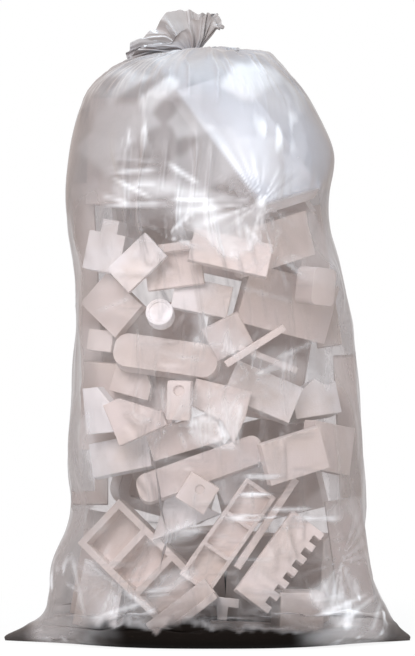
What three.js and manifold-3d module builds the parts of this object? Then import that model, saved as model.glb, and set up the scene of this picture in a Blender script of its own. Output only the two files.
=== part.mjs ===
// A clear gusseted bag, tied at its mouth with its own film and standing full of broken foam packing.
// Millimetres, +Z up. The base rests on z = 0 round the origin and the front of the bag looks towards -Y.

import * as THREE from "three";
import { mergeVertices } from "three/addons/utils/BufferGeometryUtils.js";
import Module from "manifold-3d";

const wasm = await Module();
wasm.setup();

// Film bag
const sealLength = 1150; // bottom weld from ear tip to ear tip, the flat width of the bag
const bodyHalfWidth = 400;
const bodyHalfDepth = 345;
const shoulderHeight = 1690; // floor to the top of the filled shoulders
const filmWall = 1; // stands in for a film about a tenth of this
const tieDrop = 26; // the tie sits in a dimple below the shoulders
const tieAcross = -42; // and to the left of the bag's axis
const tieRadius = 19;
const tuftHeight = 56; // middle of the ruffled mouth above the tie
const tuftLeft = 228; // reach of the mouth to the left and right of the bag's axis
const tuftRight = 38;
const tuftHalfDepth = 62;
const tuftTilt = 58; // the mouth droops on to the left shoulder and stands up on the right
const tuftNod = 48; // and its back stands higher than its front
const tuftSpread = 0.6; // the middle of the tuft has this share of its height
const tuftDroop = 0.4; // and this share of its tilt
const hemWave = 13; // ruffle of the mouth, up and down
const hemWaves = 5;
const shoulderTilt = 16; // the right shoulder swells above the tie
const pleatCount = 12; // folds gathered into the tie
const lumpDepth = 10; // film sagging between the scraps
const fineLumps = 0.35; // depth of the finest lumps as a share of that
const lumpWaves = [
  { around: 3, rise: 95 },
  { around: 4, rise: -130 },
  { around: 7, rise: 60 },
]; // how many lumps go round the bag, and the height over which they wind round it by a radian
const gussetDent = 4; // fold that runs up each side where the gusset was tucked in
const gussetWidth = 0.12; // half width of that fold as an angle round the bag
const bodySquareness = 0.74; // below 1 the body's plan is squarer than an ellipse
const earSharpness = 12; // how quickly an ear narrows along the weld
const filmColumns = 60;
const rowsPerSpan = 2;
const drawDepth = 40; // how far the film is drawn in where no scrap holds it out
const drawSides = 6; // and at the left and right of the bag
const sideHold = 4; // how quickly the draw lessens towards those sides
const drawClear = 8; // room kept between the drawn film and a scrap
const drawStep = 15; // most that the draw changes from one point of the film to the next
const drawLow = [0.03, 0.09]; // the film is let go between these shares of the shoulder height
const drawHigh = [0.86, 0.96]; // and held again between these

// Foam
const touchGap = 0.3; // clearance left wherever two pieces meet
const topFillClear = 250; // left free at both ends of the block that fills the top at the back
const slideStep = 20; // coarse step of a piece sliding outwards
const slideTolerance = 0.1;
const liftStep = 30; // a piece with no room is tried this much higher, then lower, then further
const insetShares = [1, 0.5, 0]; // and then nearer to the bag's axis, by these shares of its own offset
const biteAngle = 2.4; // step between the bites of a broken edge, in radians, so that they come unevenly
const arcSteps = 5;
const roundSteps = 20;
const sampleStep = 12; // spacing of the points that stand for the faces of a scrap

const up = new THREE.Vector3(0, 0, 1);

function toSolid(geometry) {
  const bare = geometry.clone();
  bare.deleteAttribute("normal");
  bare.deleteAttribute("uv");
  const merged = mergeVertices(bare);
  const mesh = new wasm.Mesh({
    numProp: 3,
    vertProperties: merged.attributes.position.array,
    triVerts: new Uint32Array(merged.index.array),
  });
  return new wasm.Manifold(mesh);
}

function toGeometry(solid) {
  const mesh = solid.getMesh();
  const geometry = new THREE.BufferGeometry();
  geometry.setAttribute("position", new THREE.BufferAttribute(mesh.vertProperties, 3));
  geometry.setIndex(new THREE.BufferAttribute(mesh.triVerts, 1));
  return geometry;
}

function cut(body, ...tools) {
  return toGeometry(tools.reduce((left, tool) => left.subtract(toSolid(tool)), toSolid(body)));
}

function join(...bodies) {
  return toGeometry(bodies.map(toSolid).reduce((sum, body) => sum.add(body)));
}

// Levels of the film from the base to the mouth.
// Reaches are shares of the half width and half depth, heights are shares of the shoulder height.
// point shapes the ends of the plan (over 1 pinches them into ears) and ear is how much of the ear is left.
function bodyLevel(height, left, right, deep, shaping) {
  return {
    height: height * shoulderHeight,
    left: left * bodyHalfWidth,
    right: right * bodyHalfWidth,
    deep: deep * bodyHalfDepth,
    ear: 0,
    point: bodySquareness,
    pleat: 0,
    lump: 1,
    tilt: 0,
    nod: 0,
    wave: 0,
    ...shaping,
  };
}

// Levels of the tied neck and the mouth above it, in millimetres.
function neckLevel(height, left, right, deep, shaping) {
  return { height, left, right, deep, ear: 0, point: 1, lump: 0, tilt: 0, nod: 0, wave: 0, ...shaping };
}

const tieHeight = shoulderHeight - tieDrop;
const tieLeft = tieRadius - tieAcross;
const tieRight = tieRadius + tieAcross;

const levels = [
  bodyLevel(0, 1.05, 1.13, 0.98, { ear: 1, point: 1.5, lump: 0 }),
  bodyLevel(0.009, 1.12, 1.22, 1.07, { ear: 0.97, point: 1.35, lump: 0 }),
  bodyLevel(0.026, 1.14, 1.27, 1.12, { ear: 0.5, point: 1.1, lump: 0.2 }),
  bodyLevel(0.055, 1.14, 1.28, 1.13, { ear: 0.06, point: 0.9, lump: 0.5 }),
  bodyLevel(0.135, 1.11, 1.17, 1.08, {}),
  bodyLevel(0.222, 0.985, 1.135, 1.02, {}),
  bodyLevel(0.31, 1.015, 1.14, 1.01, {}),
  bodyLevel(0.42, 1.0, 1.075, 1.0, {}),
  bodyLevel(0.53, 0.945, 1.035, 0.99, {}),
  bodyLevel(0.63, 0.98, 0.96, 0.99, {}),
  bodyLevel(0.722, 1.03, 0.87, 0.98, {}),
  bodyLevel(0.82, 1.015, 0.905, 0.95, { pleat: 0.006 }),
  bodyLevel(0.89, 0.925, 0.79, 0.87, { pleat: 0.015, lump: 0.7 }),
  bodyLevel(0.935, 0.79, 0.63, 0.73, { pleat: 0.03, lump: 0.3 }),
  bodyLevel(0.972, 0.6, 0.43, 0.5, { pleat: 0.05, lump: 0, tilt: shoulderTilt / 2 }),
  bodyLevel(0.99, 0.36, 0.24, 0.25, { pleat: 0.08, lump: 0, tilt: shoulderTilt }),
  neckLevel(tieHeight, tieLeft, tieRight, tieRadius, { pleat: 0.14 }),
  neckLevel(
    tieHeight + tuftSpread * tuftHeight,
    (tieLeft + tuftLeft) / 2,
    (tieRight + tuftRight) / 2,
    (tieRadius + tuftHalfDepth) / 2,
    { pleat: 0.11, tilt: tuftDroop * tuftTilt, nod: tuftDroop * tuftNod },
  ),
  neckLevel(tieHeight + tuftHeight, tuftLeft, tuftRight, tuftHalfDepth, {
    pleat: 0.08,
    tilt: tuftTilt,
    nod: tuftNod,
    wave: hemWave,
  }),
];

const levelFields = Object.keys(levels[0]);
const levelCurve = new THREE.CubicInterpolant(
  levels.map((level, index) => index),
  levels.flatMap((level) => levelFields.map((field) => level[field])),
  levelFields.length,
);

function levelAt(position) {
  const values = levelCurve.evaluate(position);
  return Object.fromEntries(levelFields.map((field, index) => [field, values[index]]));
}

// Depth of the sags between the scraps and of the gusset folds up the sides, at a height and an angle.
function sagAt(height, angle) {
  const [first, second, fine] = lumpWaves.map((wave) => Math.sin(wave.around * angle + height / wave.rise));
  const gusset = Math.exp(-((Math.sin(angle) / gussetWidth) ** 2));
  return lumpDepth * (first * second + fineLumps * fine) - gussetDent * gusset;
}

// One point of the film: a squared ellipse with an ear at each end, gathered by the pleats.
function filmPoint(level, angle) {
  const along = Math.cos(angle);
  const depth = Math.sin(angle);
  const side = Math.sign(along);
  const middle = (level.right - level.left) / 2;
  const half = (level.right + level.left) / 2;
  const earReach = level.ear * (sealLength / 2 - half - side * middle);
  const sag = level.lump * sagAt(level.height, angle);
  const gather = 1 + level.pleat * Math.cos(pleatCount * angle) + sag / bodyHalfWidth;
  const body = half * gather * Math.abs(along) ** bodySquareness;
  const reach = body + earReach * Math.abs(along) ** earSharpness;
  const back = level.deep * gather * Math.abs(depth) ** level.point;
  const rise = level.tilt * along + level.nod * depth + level.wave * Math.sin(hemWaves * angle);
  return new THREE.Vector3(middle + side * reach, Math.sign(depth) * back, level.height + rise);
}

// Numbers of the points of a skin that starts at one point in the base and goes up in closed rows.
function skinPoint(row, column) {
  return 1 + row * filmColumns + (column % filmColumns);
}

function skinFaces(rows) {
  const faces = [];
  for (let column = 0; column < filmColumns; column++) {
    faces.push([0, skinPoint(0, column + 1), skinPoint(0, column)]);
    for (let row = 0; row < rows; row++) {
      const here = skinPoint(row, column);
      const above = skinPoint(row + 1, column);
      const next = skinPoint(row, column + 1);
      const nextAbove = skinPoint(row + 1, column + 1);
      faces.push([here, next, nextAbove], [here, nextAbove, above]);
    }
  }
  return faces;
}

function geometryOf(points, faces) {
  return new THREE.BufferGeometry().setFromPoints(points).setIndex(faces.flat());
}

const mouthRow = (levels.length - 1) * rowsPerSpan;
const tieRow = levels.findIndex((level) => level.height === tieHeight) * rowsPerSpan;

const fullSkin = [new THREE.Vector3(0, 0, 0)];
for (let row = 0; row <= mouthRow; row++) {
  for (let column = 0; column < filmColumns; column++) {
    fullSkin.push(filmPoint(levelAt(row / rowsPerSpan), (column / filmColumns) * 2 * Math.PI));
  }
}

// The inner face of a skin, one film wall behind it.
function liningOf(skin) {
  const face = geometryOf(skin, skinFaces(mouthRow));
  face.computeVertexNormals();
  return skin.map((point, index) => {
    const outwards = new THREE.Vector3().fromBufferAttribute(face.attributes.normal, index);
    return point.clone().addScaledVector(outwards, -filmWall);
  });
}

// The film as one thin closed body: its skin, the lining facing in, and the edge of the mouth.
function filmGeometry(skin) {
  const count = skin.length;
  const faces = skinFaces(mouthRow);
  const lining = faces.map(([a, b, c]) => [a + count, c + count, b + count]);
  const edge = [];
  for (let column = 0; column < filmColumns; column++) {
    const here = skinPoint(mouthRow, column);
    const next = skinPoint(mouthRow, column + 1);
    edge.push([here, next, next + count], [here, next + count, here + count]);
  }
  return geometryOf([...skin, ...liningOf(skin)], [...faces, ...lining, ...edge]);
}

// The room inside the full film up to the tie, which the contents stay within.
function roomGeometry() {
  const faces = skinFaces(tieRow);
  const points = liningOf(fullSkin).slice(0, skinPoint(tieRow, filmColumns - 1) + 1);
  const cap = points.length;
  for (let column = 0; column < filmColumns; column++) {
    faces.push([cap, skinPoint(tieRow, column), skinPoint(tieRow, column + 1)]);
  }
  return geometryOf([...points, new THREE.Vector3(tieAcross, 0, tieHeight)], faces);
}

// Rows of the film from the base to the top of the shoulders, whose heights only rise.
const drawRows = tieRow - rowsPerSpan;
const rowHeights = Array.from({ length: drawRows + 1 }, (unused, row) => levelAt(row / rowsPerSpan).height);

function rowAt(height) {
  const row = Math.max(rowHeights.findLastIndex((low) => low <= height), 0);
  if (row >= drawRows) {
    return drawRows;
  }
  return row + (height - rowHeights[row]) / (rowHeights[row + 1] - rowHeights[row]);
}

// A point in the bag as a row and a column of the film, with its depth behind the full film.
function behindFilm(point) {
  const row = rowAt(point.z);
  const level = levelAt(row / rowsPerSpan);
  const middle = (level.right - level.left) / 2;
  const half = (level.right + level.left) / 2;
  const across = point.x - middle;
  const along = Math.sign(across) * Math.abs(across / half) ** (1 / bodySquareness);
  const depth = Math.sign(point.y) * Math.abs(point.y / level.deep) ** (1 / level.point);
  const angle = Math.atan2(depth, along);
  const skin = filmPoint(level, angle);
  const column = ((angle / (2 * Math.PI) + 1) % 1) * filmColumns;
  const behind = Math.hypot(skin.x - middle, skin.y) - Math.hypot(across, point.y);
  return { row, column, behind };
}

// Points over the faces of a solid, no further apart than the sample step.
function samplesOf(solid) {
  const mesh = solid.getMesh();
  const corner = (index) => new THREE.Vector3().fromArray(mesh.vertProperties, index * mesh.numProp);
  const points = [];
  for (let face = 0; face < mesh.triVerts.length; face += 3) {
    const [a, b, c] = [...mesh.triVerts.slice(face, face + 3)].map(corner);
    const parts = Math.ceil(Math.max(a.distanceTo(b), b.distanceTo(c), c.distanceTo(a)) / sampleStep);
    for (let first = 0; first <= parts; first++) {
      for (let second = 0; first + second <= parts; second++) {
        const point = a.clone().multiplyScalar((parts - first - second) / parts);
        points.push(point.addScaledVector(b, first / parts).addScaledVector(c, second / parts));
      }
    }
  }
  return points;
}

// How far the film may be drawn in at a point of its skin before anything holds it.
function drawLimit(row, column) {
  const share = rowHeights[row] / shoulderHeight;
  const sideways = Math.abs(Math.cos((column / filmColumns) * 2 * Math.PI)) ** sideHold;
  const loose = THREE.MathUtils.smoothstep(share, ...drawLow) - THREE.MathUtils.smoothstep(share, ...drawHigh);
  return loose * THREE.MathUtils.lerp(drawDepth, drawSides, sideways);
}

// The skin drawn in on to the contents: each point goes in until a scrap in one of its four cells holds it,
// and no further than a step beyond its neighbours.
function drawnSkin(solids) {
  const draw = rowHeights.map((height, row) =>
    Array.from({ length: filmColumns }, (unused, column) => drawLimit(row, column)),
  );
  for (const { row, column, behind } of solids.flatMap(samplesOf).map(behindFilm)) {
    for (const near of [Math.floor(row), Math.ceil(row)]) {
      for (const beside of [Math.floor(column), Math.floor(column) + 1]) {
        const held = Math.max(behind - drawClear, 0);
        draw[near][beside % filmColumns] = Math.min(draw[near][beside % filmColumns], held);
      }
    }
  }
  for (let pass = 0; pass * drawStep < drawDepth; pass++) {
    for (let row = 1; row < drawRows; row++) {
      for (let column = 0; column < filmColumns; column++) {
        const left = draw[row][(column + filmColumns - 1) % filmColumns];
        const right = draw[row][(column + 1) % filmColumns];
        const least = Math.min(left, right, draw[row - 1][column], draw[row + 1][column]);
        draw[row][column] = Math.min(draw[row][column], least + drawStep);
      }
    }
  }
  return fullSkin.map((point, index) => {
    const row = Math.floor((index - 1) / filmColumns);
    if (index === 0 || row > drawRows) {
      return point;
    }
    const level = levelAt(row / rowsPerSpan);
    const axis = new THREE.Vector3((level.right - level.left) / 2, 0, point.z);
    const share = 1 - draw[row][(index - 1) % filmColumns] / point.distanceTo(axis);
    return point.clone().sub(axis).multiplyScalar(share).add(axis);
  });
}

// Foam shapes: seen from the front, wide along X and tall along Z, thick along Y, round their own middle.
function outlineOf(points) {
  return new THREE.Shape(points.map(([x, y]) => new THREE.Vector2(x, y)));
}

function plate(outline, thick) {
  const geometry = new THREE.ExtrudeGeometry(outline, {
    depth: thick,
    bevelEnabled: false,
    curveSegments: arcSteps,
  });
  return geometry.translate(0, 0, -thick / 2).rotateX(Math.PI / 2);
}

function slab({ wide, tall, thick }) {
  return new THREE.BoxGeometry(wide, thick, tall);
}

// A slab that lost a corner where it snapped.
function snappedSlab({ wide, tall, thick, snapWide, snapTall }) {
  const right = wide / 2;
  const top = tall / 2;
  const points = [
    [-right, -top],
    [right, -top],
    [right, top - snapTall],
    [right - snapWide, top],
    [-right, top],
  ];
  return plate(outlineOf(points), thick);
}

// A slab whose top edge broke off unevenly.
function brokenSlab({ wide, tall, thick, bite, bites }) {
  const points = [
    [-wide / 2, -tall / 2],
    [wide / 2, -tall / 2],
  ];
  for (let step = 0; step <= bites; step++) {
    const depth = bite * Math.abs(Math.sin(biteAngle * (step + 1)));
    points.push([wide / 2 - (step / bites) * wide, tall / 2 - depth]);
  }
  return plate(outlineOf(points), thick);
}

function triangle({ wide, tall, thick, tip }) {
  const points = [
    [-wide / 2, -tall / 2],
    [wide / 2, -tall / 2],
    [tip, tall / 2],
  ];
  return plate(outlineOf(points), thick);
}

// A slab with a tab left standing on its top edge.
function tabbedBlock({ wide, tall, thick, tabWide, tabTall, tabIn }) {
  const left = -wide / 2 + tabIn;
  const points = [
    [-wide / 2, -tall / 2],
    [wide / 2, -tall / 2],
    [wide / 2, tall / 2],
    [left + tabWide, tall / 2],
    [left + tabWide, tall / 2 + tabTall],
    [left, tall / 2 + tabTall],
    [left, tall / 2],
    [-wide / 2, tall / 2],
  ];
  return plate(outlineOf(points), thick);
}

// A slab that ends in a pointed tongue at its lower right.
function tongueSlab({ wide, tall, thick, tongueWide, tongueLong }) {
  const points = [
    [-wide / 2, -tall / 4],
    [wide / 2 - tongueWide, -tall / 2],
    [wide / 2 - tongueWide / 4, -tall / 2 - tongueLong],
    [wide / 2, -tall / 4],
    [wide / 2, tall / 2],
    [-wide / 2, tall / 2],
  ];
  return plate(outlineOf(points), thick);
}

function roundedOutline(wide, tall, radius) {
  const right = wide / 2 - radius;
  const top = tall / 2 - radius;
  const outline = new THREE.Shape();
  outline.absarc(right, top, radius, 0, Math.PI / 2);
  outline.absarc(-right, top, radius, Math.PI / 2, Math.PI);
  outline.absarc(-right, -top, radius, Math.PI, Math.PI * 1.5);
  outline.absarc(right, -top, radius, Math.PI * 1.5, Math.PI * 2);
  return outline;
}

function roundedBlock({ wide, tall, thick, radius }) {
  return plate(roundedOutline(wide, tall, radius), thick);
}

// A moulded shell with rounded ends, open towards the back.
function shell({ wide, tall, thick, radius, wall }) {
  const hollow = plate(roundedOutline(wide - 2 * wall, tall - 2 * wall, radius - wall), thick);
  return cut(plate(roundedOutline(wide, tall, radius), thick), hollow.translate(0, wall, 0));
}

// A tray with a grid of pockets open towards the front.
function tray({ wide, tall, thick, wall, floor, cellsWide, cellsTall }) {
  const cellWide = (wide - wall * (cellsWide + 1)) / cellsWide;
  const cellTall = (tall - wall * (cellsTall + 1)) / cellsTall;
  const pockets = [];
  for (let column = 0; column < cellsWide; column++) {
    for (let row = 0; row < cellsTall; row++) {
      const x = -wide / 2 + wall + cellWide / 2 + column * (cellWide + wall);
      const z = -tall / 2 + wall + cellTall / 2 + row * (cellTall + wall);
      pockets.push(new THREE.BoxGeometry(cellWide, thick, cellTall).translate(x, -floor, z));
    }
  }
  return cut(new THREE.BoxGeometry(wide, thick, tall), ...pockets);
}

// A rail with square teeth along its lower edge.
function toothedRail({ wide, tall, thick, teeth, toothTall }) {
  const pitch = wide / (2 * teeth - 1);
  const points = [
    [wide / 2, tall / 2],
    [-wide / 2, tall / 2],
  ];
  for (let tooth = 0; tooth < teeth; tooth++) {
    const left = -wide / 2 + 2 * tooth * pitch;
    points.push([left, -tall / 2], [left + pitch, -tall / 2]);
    if (tooth < teeth - 1) {
      points.push([left + pitch, -tall / 2 + toothTall], [left + 2 * pitch, -tall / 2 + toothTall]);
    }
  }
  return plate(outlineOf(points), thick);
}

function teeScrap({ wide, tall, thick, stem, bar }) {
  const points = [
    [-wide / 2, tall / 2 - bar],
    [-stem / 2, tall / 2 - bar],
    [-stem / 4, -tall / 2],
    [stem / 2, -tall / 2],
    [stem / 2, tall / 2 - bar],
    [wide / 2, tall / 2 - bar],
    [wide / 2, tall / 2],
    [-wide / 2, tall / 2],
  ];
  return plate(outlineOf(points), thick);
}

// A slab with a shallow round dimple moulded in its front.
function dimpledSlab({ wide, tall, thick, dimpleRadius, dimpleDeep, dimpleUp }) {
  const dimple = new THREE.CylinderGeometry(dimpleRadius, dimpleRadius, thick, roundSteps);
  return cut(slab({ wide, tall, thick }), dimple.translate(0, dimpleDeep - thick, dimpleUp));
}

function puck({ radius, thick, rim, recess }) {
  const profile = [
    [0, -thick / 2 + recess],
    [radius - rim, -thick / 2 + recess],
    [radius - rim, -thick / 2],
    [radius, -thick / 2],
    [radius, thick / 2],
    [0, thick / 2],
  ];
  return new THREE.LatheGeometry(
    profile.map(([x, y]) => new THREE.Vector2(x, y)),
    roundSteps,
  );
}

// An edge guard: two flat legs meeting along one edge.
function edgeGuard({ wide, tall, thick, wall }) {
  const back = slab({ wide, tall, thick: wall }).translate(0, thick / 2 - wall / 2, 0);
  const foot = slab({ wide, tall: wall, thick }).translate(0, 0, -tall / 2 + wall / 2);
  return join(back, foot);
}

// A corner guard: a block hollowed from one corner, leaving three walls.
function cornerGuard({ wide, tall, thick, wall }) {
  const hollow = slab({ wide, tall, thick }).translate(wall, -wall, wall);
  return cut(slab({ wide, tall, thick }), hollow);
}

// Sides of the bag: the turn about Z of a piece that looks out of that side,
// half the width seen from there, and how far out the film lies.
const sides = {
  front: { facing: 0, half: bodyHalfWidth, reach: bodyHalfDepth },
  right: { facing: Math.PI / 2, half: bodyHalfDepth, reach: bodyHalfWidth },
  back: { facing: Math.PI, half: bodyHalfWidth, reach: bodyHalfDepth },
  left: { facing: -Math.PI / 2, half: bodyHalfDepth, reach: bodyHalfWidth },
};

// Contents in the order they are put against the film, so that a later piece lies behind an earlier one.
// across and height are shares of that side's half width and of the shoulder height, angles are degrees:
// turn is clockwise as seen, lean tips the top outwards, swing turns the face to its own right.
const contents = [
  {
    name: "large_panel",
    shape: slab({ wide: 438, tall: 222, thick: 50 }),
    place: { side: "front", across: 0.27, height: 0.833, turn: 72, lean: -38, swing: 25 },
  },
  {
    name: "upper_left_block",
    shape: slab({ wide: 190, tall: 300, thick: 170 }),
    place: { side: "front", across: -0.53, height: 0.818, turn: 0, lean: -4, swing: -34 },
  },
  {
    name: "shaded_block",
    shape: slab({ wide: 260, tall: 290, thick: 90 }),
    place: { side: "front", across: -0.18, height: 0.775, turn: 6, lean: 4, swing: 8 },
  },
  {
    name: "tabbed_block",
    shape: tabbedBlock({ wide: 112, tall: 110, thick: 60, tabWide: 50, tabTall: 38, tabIn: 34 }),
    place: { side: "front", across: -0.7, height: 0.652, turn: 9, lean: -8, swing: -22 },
  },
  {
    name: "leaf_slab",
    shape: slab({ wide: 150, tall: 92, thick: 24 }),
    place: { side: "front", across: -0.49, height: 0.637, turn: -44, lean: -6, swing: -10 },
  },
  {
    name: "upper_middle_panel",
    shape: slab({ wide: 225, tall: 95, thick: 34 }),
    place: { side: "front", across: 0.16, height: 0.653, turn: 13, lean: -12, swing: 4 },
  },
  {
    name: "upper_right_panel",
    shape: slab({ wide: 240, tall: 130, thick: 42 }),
    place: { side: "front", across: 0.44, height: 0.668, turn: -16, lean: 5, swing: 26 },
  },
  {
    name: "capped_panel",
    shape: edgeGuard({ wide: 160, tall: 120, thick: 60, wall: 24 }),
    place: { side: "front", across: -0.24, height: 0.632, turn: 172, lean: -10, swing: -6 },
  },
  {
    name: "rounded_block",
    shape: roundedBlock({ wide: 88, tall: 106, thick: 70, radius: 18 }),
    place: { side: "front", across: 0.76, height: 0.597, turn: 6, lean: 2, swing: 42 },
  },
  {
    name: "foam_puck",
    shape: puck({ radius: 39, thick: 46, rim: 9, recess: 6 }),
    place: { side: "front", across: -0.33, height: 0.552, turn: 0, lean: -20, swing: -8 },
  },
  {
    name: "left_cheek_slab",
    shape: slab({ wide: 150, tall: 120, thick: 36 }),
    place: { side: "front", across: -0.66, height: 0.565, turn: 40, lean: -10, swing: -24 },
  },
  {
    name: "pale_panel",
    shape: slab({ wide: 160, tall: 92, thick: 28 }),
    place: { side: "front", across: -0.04, height: 0.578, turn: 12, lean: -14, swing: 0 },
  },
  {
    name: "middle_right_panel",
    shape: slab({ wide: 280, tall: 170, thick: 40 }),
    place: { side: "front", across: 0.55, height: 0.568, turn: 14, lean: 6, swing: 22 },
  },
  {
    name: "long_strip",
    shape: slab({ wide: 195, tall: 19, thick: 22 }),
    place: { side: "front", across: 0.33, height: 0.5, turn: -32, lean: 0, swing: 8 },
  },
  {
    name: "crossed_strip",
    shape: slab({ wide: 178, tall: 17, thick: 18 }),
    place: { side: "front", across: 0.42, height: 0.478, turn: 22, lean: 0, swing: 10 },
  },
  {
    name: "diamond_slab",
    shape: slab({ wide: 112, tall: 98, thick: 22 }),
    place: { side: "front", across: 0.14, height: 0.516, turn: -28, lean: 10, swing: 4 },
  },
  {
    name: "rounded_shell",
    shape: shell({ wide: 296, tall: 96, thick: 70, radius: 40, wall: 18 }),
    place: { side: "front", across: -0.285, height: 0.478, turn: 8, lean: -16, swing: -6 },
  },
  {
    name: "left_cube",
    shape: slab({ wide: 76, tall: 60, thick: 50 }),
    place: { side: "front", across: -0.735, height: 0.505, turn: 5, lean: -6, swing: -22 },
  },
  {
    name: "dimpled_block",
    shape: dimpledSlab({ wide: 66, tall: 110, thick: 60, dimpleRadius: 15, dimpleDeep: 10, dimpleUp: 28 }),
    place: { side: "front", across: -0.195, height: 0.41, turn: 2, lean: 0, swing: -6 },
  },
  {
    name: "tongue_slab",
    shape: tongueSlab({ wide: 160, tall: 100, thick: 26, tongueWide: 60, tongueLong: 52 }),
    place: { side: "front", across: 0.085, height: 0.405, turn: 14, lean: -12, swing: 2 },
  },
  {
    name: "pale_slab",
    shape: slab({ wide: 200, tall: 112, thick: 36 }),
    place: { side: "front", across: 0.385, height: 0.42, turn: 24, lean: -16, swing: 8 },
  },
  {
    name: "broken_block",
    shape: brokenSlab({ wide: 140, tall: 112, thick: 90, bite: 30, bites: 7 }),
    place: { side: "front", across: 0.72, height: 0.408, turn: -8, lean: -12, swing: 20 },
  },
  {
    name: "left_plate",
    shape: snappedSlab({ wide: 118, tall: 80, thick: 30, snapWide: 30, snapTall: 40 }),
    place: { side: "front", across: -0.52, height: 0.437, turn: 14, lean: -8, swing: -16 },
  },
  {
    name: "left_scrap",
    shape: snappedSlab({ wide: 150, tall: 124, thick: 24, snapWide: 100, snapTall: 84 }),
    place: { side: "front", across: -0.5, height: 0.385, turn: -24, lean: -4, swing: -14 },
  },
  {
    name: "left_offcut",
    shape: snappedSlab({ wide: 92, tall: 130, thick: 40, snapWide: 44, snapTall: 60 }),
    place: { side: "front", across: -0.74, height: 0.392, turn: -6, lean: 0, swing: -26 },
  },
  {
    name: "sloping_panel",
    shape: slab({ wide: 205, tall: 84, thick: 34 }),
    place: { side: "front", across: -0.16, height: 0.349, turn: -17, lean: 4, swing: -4 },
  },
  {
    name: "white_slab",
    shape: slab({ wide: 175, tall: 98, thick: 40 }),
    place: { side: "front", across: -0.6, height: 0.314, turn: -12, lean: -12, swing: -18 },
  },
  {
    name: "lower_middle_panel",
    shape: slab({ wide: 180, tall: 120, thick: 38 }),
    place: { side: "front", across: 0.6, height: 0.318, turn: -16, lean: 2, swing: 18 },
  },
  {
    name: "long_beam",
    shape: shell({ wide: 370, tall: 82, thick: 64, radius: 30, wall: 18 }),
    place: { side: "front", across: -0.05, height: 0.293, turn: -20, lean: -10, swing: 0 },
  },
  {
    name: "lower_right_panel",
    shape: slab({ wide: 160, tall: 135, thick: 46 }),
    place: { side: "front", across: 0.84, height: 0.328, turn: 10, lean: 0, swing: 44 },
  },
  {
    name: "short_guard",
    shape: edgeGuard({ wide: 210, tall: 66, thick: 60, wall: 20 }),
    place: { side: "front", across: -0.18, height: 0.062, turn: -38, lean: 0, swing: -4 },
  },
  {
    name: "ribbed_tray",
    shape: tray({ wide: 330, tall: 100, thick: 44, wall: 12, floor: 14, cellsWide: 3, cellsTall: 1 }),
    place: { side: "front", across: 0.14, height: 0.184, turn: -55, lean: -4, swing: 2 },
  },
  {
    name: "thin_rail",
    shape: slab({ wide: 300, tall: 20, thick: 30 }),
    place: { side: "front", across: 0.41, height: 0.205, turn: -56, lean: -4, swing: 6 },
  },
  {
    name: "toothed_rail",
    shape: toothedRail({ wide: 280, tall: 112, thick: 36, teeth: 7, toothTall: 24 }),
    place: { side: "front", across: 0.5, height: 0.142, turn: -52, lean: -10, swing: 12 },
  },
  {
    name: "corner_tray",
    shape: tray({ wide: 340, tall: 172, thick: 90, wall: 20, floor: 22, cellsWide: 3, cellsTall: 1 }),
    place: { side: "front", across: -0.45, height: 0.135, turn: 43, lean: -6, swing: -12 },
  },
  {
    name: "tee_scrap",
    shape: teeScrap({ wide: 92, tall: 64, thick: 24, stem: 34, bar: 26 }),
    place: { side: "front", across: 0.1, height: 0.064, turn: 6, lean: -6, swing: 2 },
  },
  {
    name: "dimpled_plate",
    shape: dimpledSlab({ wide: 92, tall: 86, thick: 28, dimpleRadius: 13, dimpleDeep: 8, dimpleUp: 12 }),
    place: { side: "front", across: -0.07, height: 0.258, turn: 32, lean: 4, swing: 0 },
  },
  {
    name: "square_block",
    shape: slab({ wide: 128, tall: 114, thick: 90 }),
    place: { side: "front", across: 0.63, height: 0.06, turn: 1, lean: 4, swing: 16 },
  },
  {
    name: "lower_left_slab",
    shape: snappedSlab({ wide: 160, tall: 190, thick: 34, snapWide: 50, snapTall: 50 }),
    place: { side: "front", across: -0.74, height: 0.075, turn: 8, lean: -8, swing: -40 },
  },
  {
    name: "top_block",
    shape: slab({ wide: 105, tall: 110, thick: 80 }),
    place: { side: "front", across: -0.26, height: 0.925, turn: 18, lean: -25, swing: -8 },
  },
  {
    name: "right_flank_guard",
    shape: cornerGuard({ wide: 160, tall: 300, thick: 100, wall: 36 }),
    place: { side: "right", across: -0.08, height: 0.15, turn: 3, lean: -8, swing: 0 },
  },
  {
    name: "right_flank_panel",
    shape: snappedSlab({ wide: 160, tall: 400, thick: 60, snapWide: 60, snapTall: 80 }),
    place: { side: "right", across: 0.17, height: 0.36, turn: -3, lean: -3, swing: 0 },
  },
  {
    name: "right_flank_tray",
    shape: tray({ wide: 150, tall: 400, thick: 70, wall: 20, floor: 28, cellsWide: 1, cellsTall: 3 }),
    place: { side: "right", across: 0.16, height: 0.61, turn: 3, lean: -9, swing: 0 },
  },
  {
    name: "left_flank_block",
    shape: snappedSlab({ wide: 170, tall: 300, thick: 80, snapWide: 60, snapTall: 60 }),
    place: { side: "left", across: -0.34, height: 0.125, turn: -4, lean: -10, swing: 0 },
  },
  {
    name: "left_flank_guard",
    shape: edgeGuard({ wide: 160, tall: 330, thick: 100, wall: 36 }),
    place: { side: "left", across: -0.1, height: 0.325, turn: -4, lean: 0, swing: 0 },
  },
  {
    name: "left_flank_panel",
    shape: slab({ wide: 160, tall: 540, thick: 60 }),
    place: { side: "left", across: -0.1, height: 0.61, turn: 2, lean: 3, swing: 0 },
  },
  {
    name: "back_base_tray",
    shape: tray({ wide: 280, tall: 250, thick: 100, wall: 26, floor: 32, cellsWide: 3, cellsTall: 1 }),
    place: { side: "back", across: 0.25, height: 0.1, turn: 5, lean: -4, swing: 14 },
  },
  {
    name: "back_base_guard",
    shape: cornerGuard({ wide: 280, tall: 250, thick: 150, wall: 60 }),
    place: { side: "back", across: -0.52, height: 0.1, turn: -4, lean: -4, swing: -14 },
  },
  {
    name: "back_lower_panel",
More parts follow.
